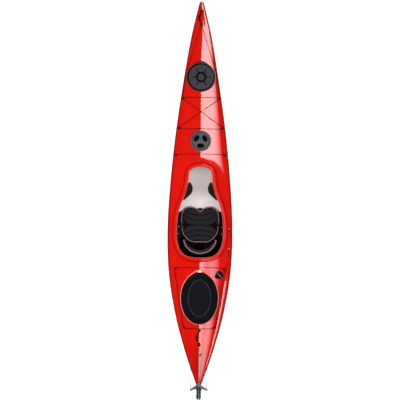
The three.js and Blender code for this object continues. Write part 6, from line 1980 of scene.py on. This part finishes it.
@dataclass
class Studio:
    """Camera, lights, floor and background."""

    eye_height: float = 18.24
    aim: tuple[float, float, float] = (-0.0019, 0.0076, 0.24)
    lens: float = 169.1
    sensor: float = 36.0
    clip_end: float = 100.0
    roll: float = math.radians(0.46)
    floor_reach: float = 30.0
    floor_drop: float = 0.0005
    floor_tone: float = 0.9
    floor_glow: float = 0.45
    world_fill: float = 0.3
    horizon: float = 0.9
    ceiling: float = 0.02
    ceiling_run: tuple[float, float] = (0.02, 0.3)

    def build(self) -> None:
        """Sets the scene round the boat."""
        scene = bpy.context.scene
        scene.view_settings.view_transform = "Standard"
        self._camera(scene)
        self._lights()
        self._floor()
        self._world(scene)
        LOG.info("studio set")

    def _camera(self, scene: bpy.types.Scene) -> None:
        """A camera high over the boat, looking straight down."""
        data = bpy.data.cameras.new("camera")
        data.lens = self.lens
        data.sensor_width = self.sensor
        data.clip_end = self.clip_end
        camera = bpy.data.objects.new("camera", data)
        camera.location = (*self.aim[:2], self.eye_height)
        camera.rotation_euler = (0, 0, self.roll)
        scene.collection.objects.link(camera)
        scene.camera = camera

    def _lights(self) -> None:
        """Softboxes over starboard that show in the gloss alone, and even lamps that show in none."""
        for box in SOFTBOXES:
            self._softbox(box)
        for lamp in LAMPS:
            self._area(lamp, lamp.power).visible_glossy = False

    def _area(self, lamp: Lamp, power: float) -> Piece:
        """An area light of a power in watts, aimed across at the boat."""
        data = bpy.data.lights.new(lamp.name, "AREA")
        data.shape = "RECTANGLE"
        data.size, data.size_y = lamp.size
        data.energy = power
        light = bpy.data.objects.new(lamp.name, data)
        light.location = lamp.place
        place = Vector(lamp.place)
        turn = Vector((-place.x, 0, self.aim[2] - place.z)).to_track_quat("-Z", "Y")
        light.rotation_euler = turn.to_euler()
        light.visible_camera = False
        bpy.context.scene.collection.objects.link(light)
        return light

    def _softbox(self, box: Lamp) -> None:
        """A softbox that shows in the gloss alone, bright at its top edge and fading to the lower one."""
        long, wide = box.size
        light = self._area(box, box.power * math.pi * long * wide)
        light.rotation_euler.rotate_axis("Z", math.radians(box.slant))
        light.visible_diffuse = False
        light.data.use_nodes = True
        wires = Wiring(light.data.node_tree)
        shape = wires.add("ShaderNodeNewGeometry")
        parts = wires.add("ShaderNodeSeparateXYZ")
        wires.join(shape.outputs["Parametric"], parts.inputs[0])
        fall = wires.add("ShaderNodeMapRange", From_Min=0.0, From_Max=box.fade, To_Min=0.0, To_Max=1.0)
        wires.join(parts.outputs["Y"], fall.inputs["Value"])
        emission = next(n for n in light.data.node_tree.nodes if n.type == "EMISSION")
        wires.join(fall.outputs["Result"], emission.inputs["Strength"])

    def _floor(self) -> None:
        """A pale floor under the keel that keeps the boat's shadow."""
        mesh = bpy.data.meshes.new("floor")
        far = self.floor_reach
        mesh.from_pydata([(-far, -far, 0), (far, -far, 0), (far, far, 0), (-far, far, 0)], [], [(0, 1, 2, 3)])
        floor = bpy.data.objects.new("floor", mesh)
        floor.location.z = -self.floor_drop
        bpy.context.scene.collection.objects.link(floor)
        material = bpy.data.materials.new("floor_pale")
        material.use_nodes = True
        wires = Wiring(material.node_tree)
        material.node_tree.nodes.clear()
        out = wires.add("ShaderNodeOutputMaterial")
        matte = wires.add("ShaderNodeBsdfDiffuse")
        matte.inputs["Color"].default_value = (*[self.floor_tone] * 3, 1)
        glow = wires.add("ShaderNodeEmission")
        both = wires.add("ShaderNodeAddShader")
        rays = wires.add("ShaderNodeLightPath")
        mirrored = wires.maths("MAXIMUM", rays.outputs["Is Glossy Ray"], rays.outputs["Is Transmission Ray"])
        seen = wires.maths("MAXIMUM", rays.outputs["Is Camera Ray"], mirrored)
        wires.join(wires.maths("MULTIPLY", seen, self.floor_glow), glow.inputs["Strength"])
        wires.join(matte.outputs[0], both.inputs[0])
        wires.join(glow.outputs[0], both.inputs[1])
        wires.join(both.outputs[0], out.inputs["Surface"])
        mesh.materials.append(material)

    def _world(self, scene: bpy.types.Scene) -> None:
        """White where the camera or glass looks, darker overhead in the gloss, and dim and even elsewhere."""
        world = bpy.data.worlds.new("studio")
        world.use_nodes = True
        wires = Wiring(world.node_tree)
        world.node_tree.nodes.clear()
        out = wires.add("ShaderNodeOutputWorld")
        shade = wires.add("ShaderNodeBackground")
        shade.inputs["Color"].default_value = (1, 1, 1, 1)
        rays = wires.add("ShaderNodeLightPath")
        place = wires.add("ShaderNodeTexCoord")
        parts = wires.add("ShaderNodeSeparateXYZ")
        wires.join(place.outputs["Generated"], parts.inputs[0])
        low, high = self.ceiling_run
        fall = wires.add("ShaderNodeMapRange", From_Min=low, From_Max=high, To_Min=self.horizon,
                         To_Max=self.ceiling)
        wires.join(parts.outputs["Z"], fall.inputs["Value"])
        seen = wires.maths("MAXIMUM", rays.outputs["Is Camera Ray"], rays.outputs["Is Transmission Ray"])
        mirrored = wires.maths("MULTIPLY", rays.outputs["Is Glossy Ray"], fall.outputs["Result"])
        matte = wires.maths("MULTIPLY", rays.outputs["Is Diffuse Ray"], self.world_fill)
        strength = wires.maths("MAXIMUM", wires.maths("MAXIMUM", seen, mirrored), matte)
        wires.join(strength, shade.inputs["Strength"])
        wires.join(shade.outputs[0], out.inputs["Surface"])
        scene.world = world


def main() -> None:
    """Builds every sub-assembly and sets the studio."""
    logging.basicConfig(level=logging.INFO, format="%(name)s: %(message)s")
    form = HullForm()
    groups = (Shells, Coaming, Rims, Lids, Seat, BackRest, ThighBraces, Rigging, Controls, Inside, Rudder)
    for group in groups:
        group(form).build()
    Studio().build()


if __name__ == "__main__":
    main()
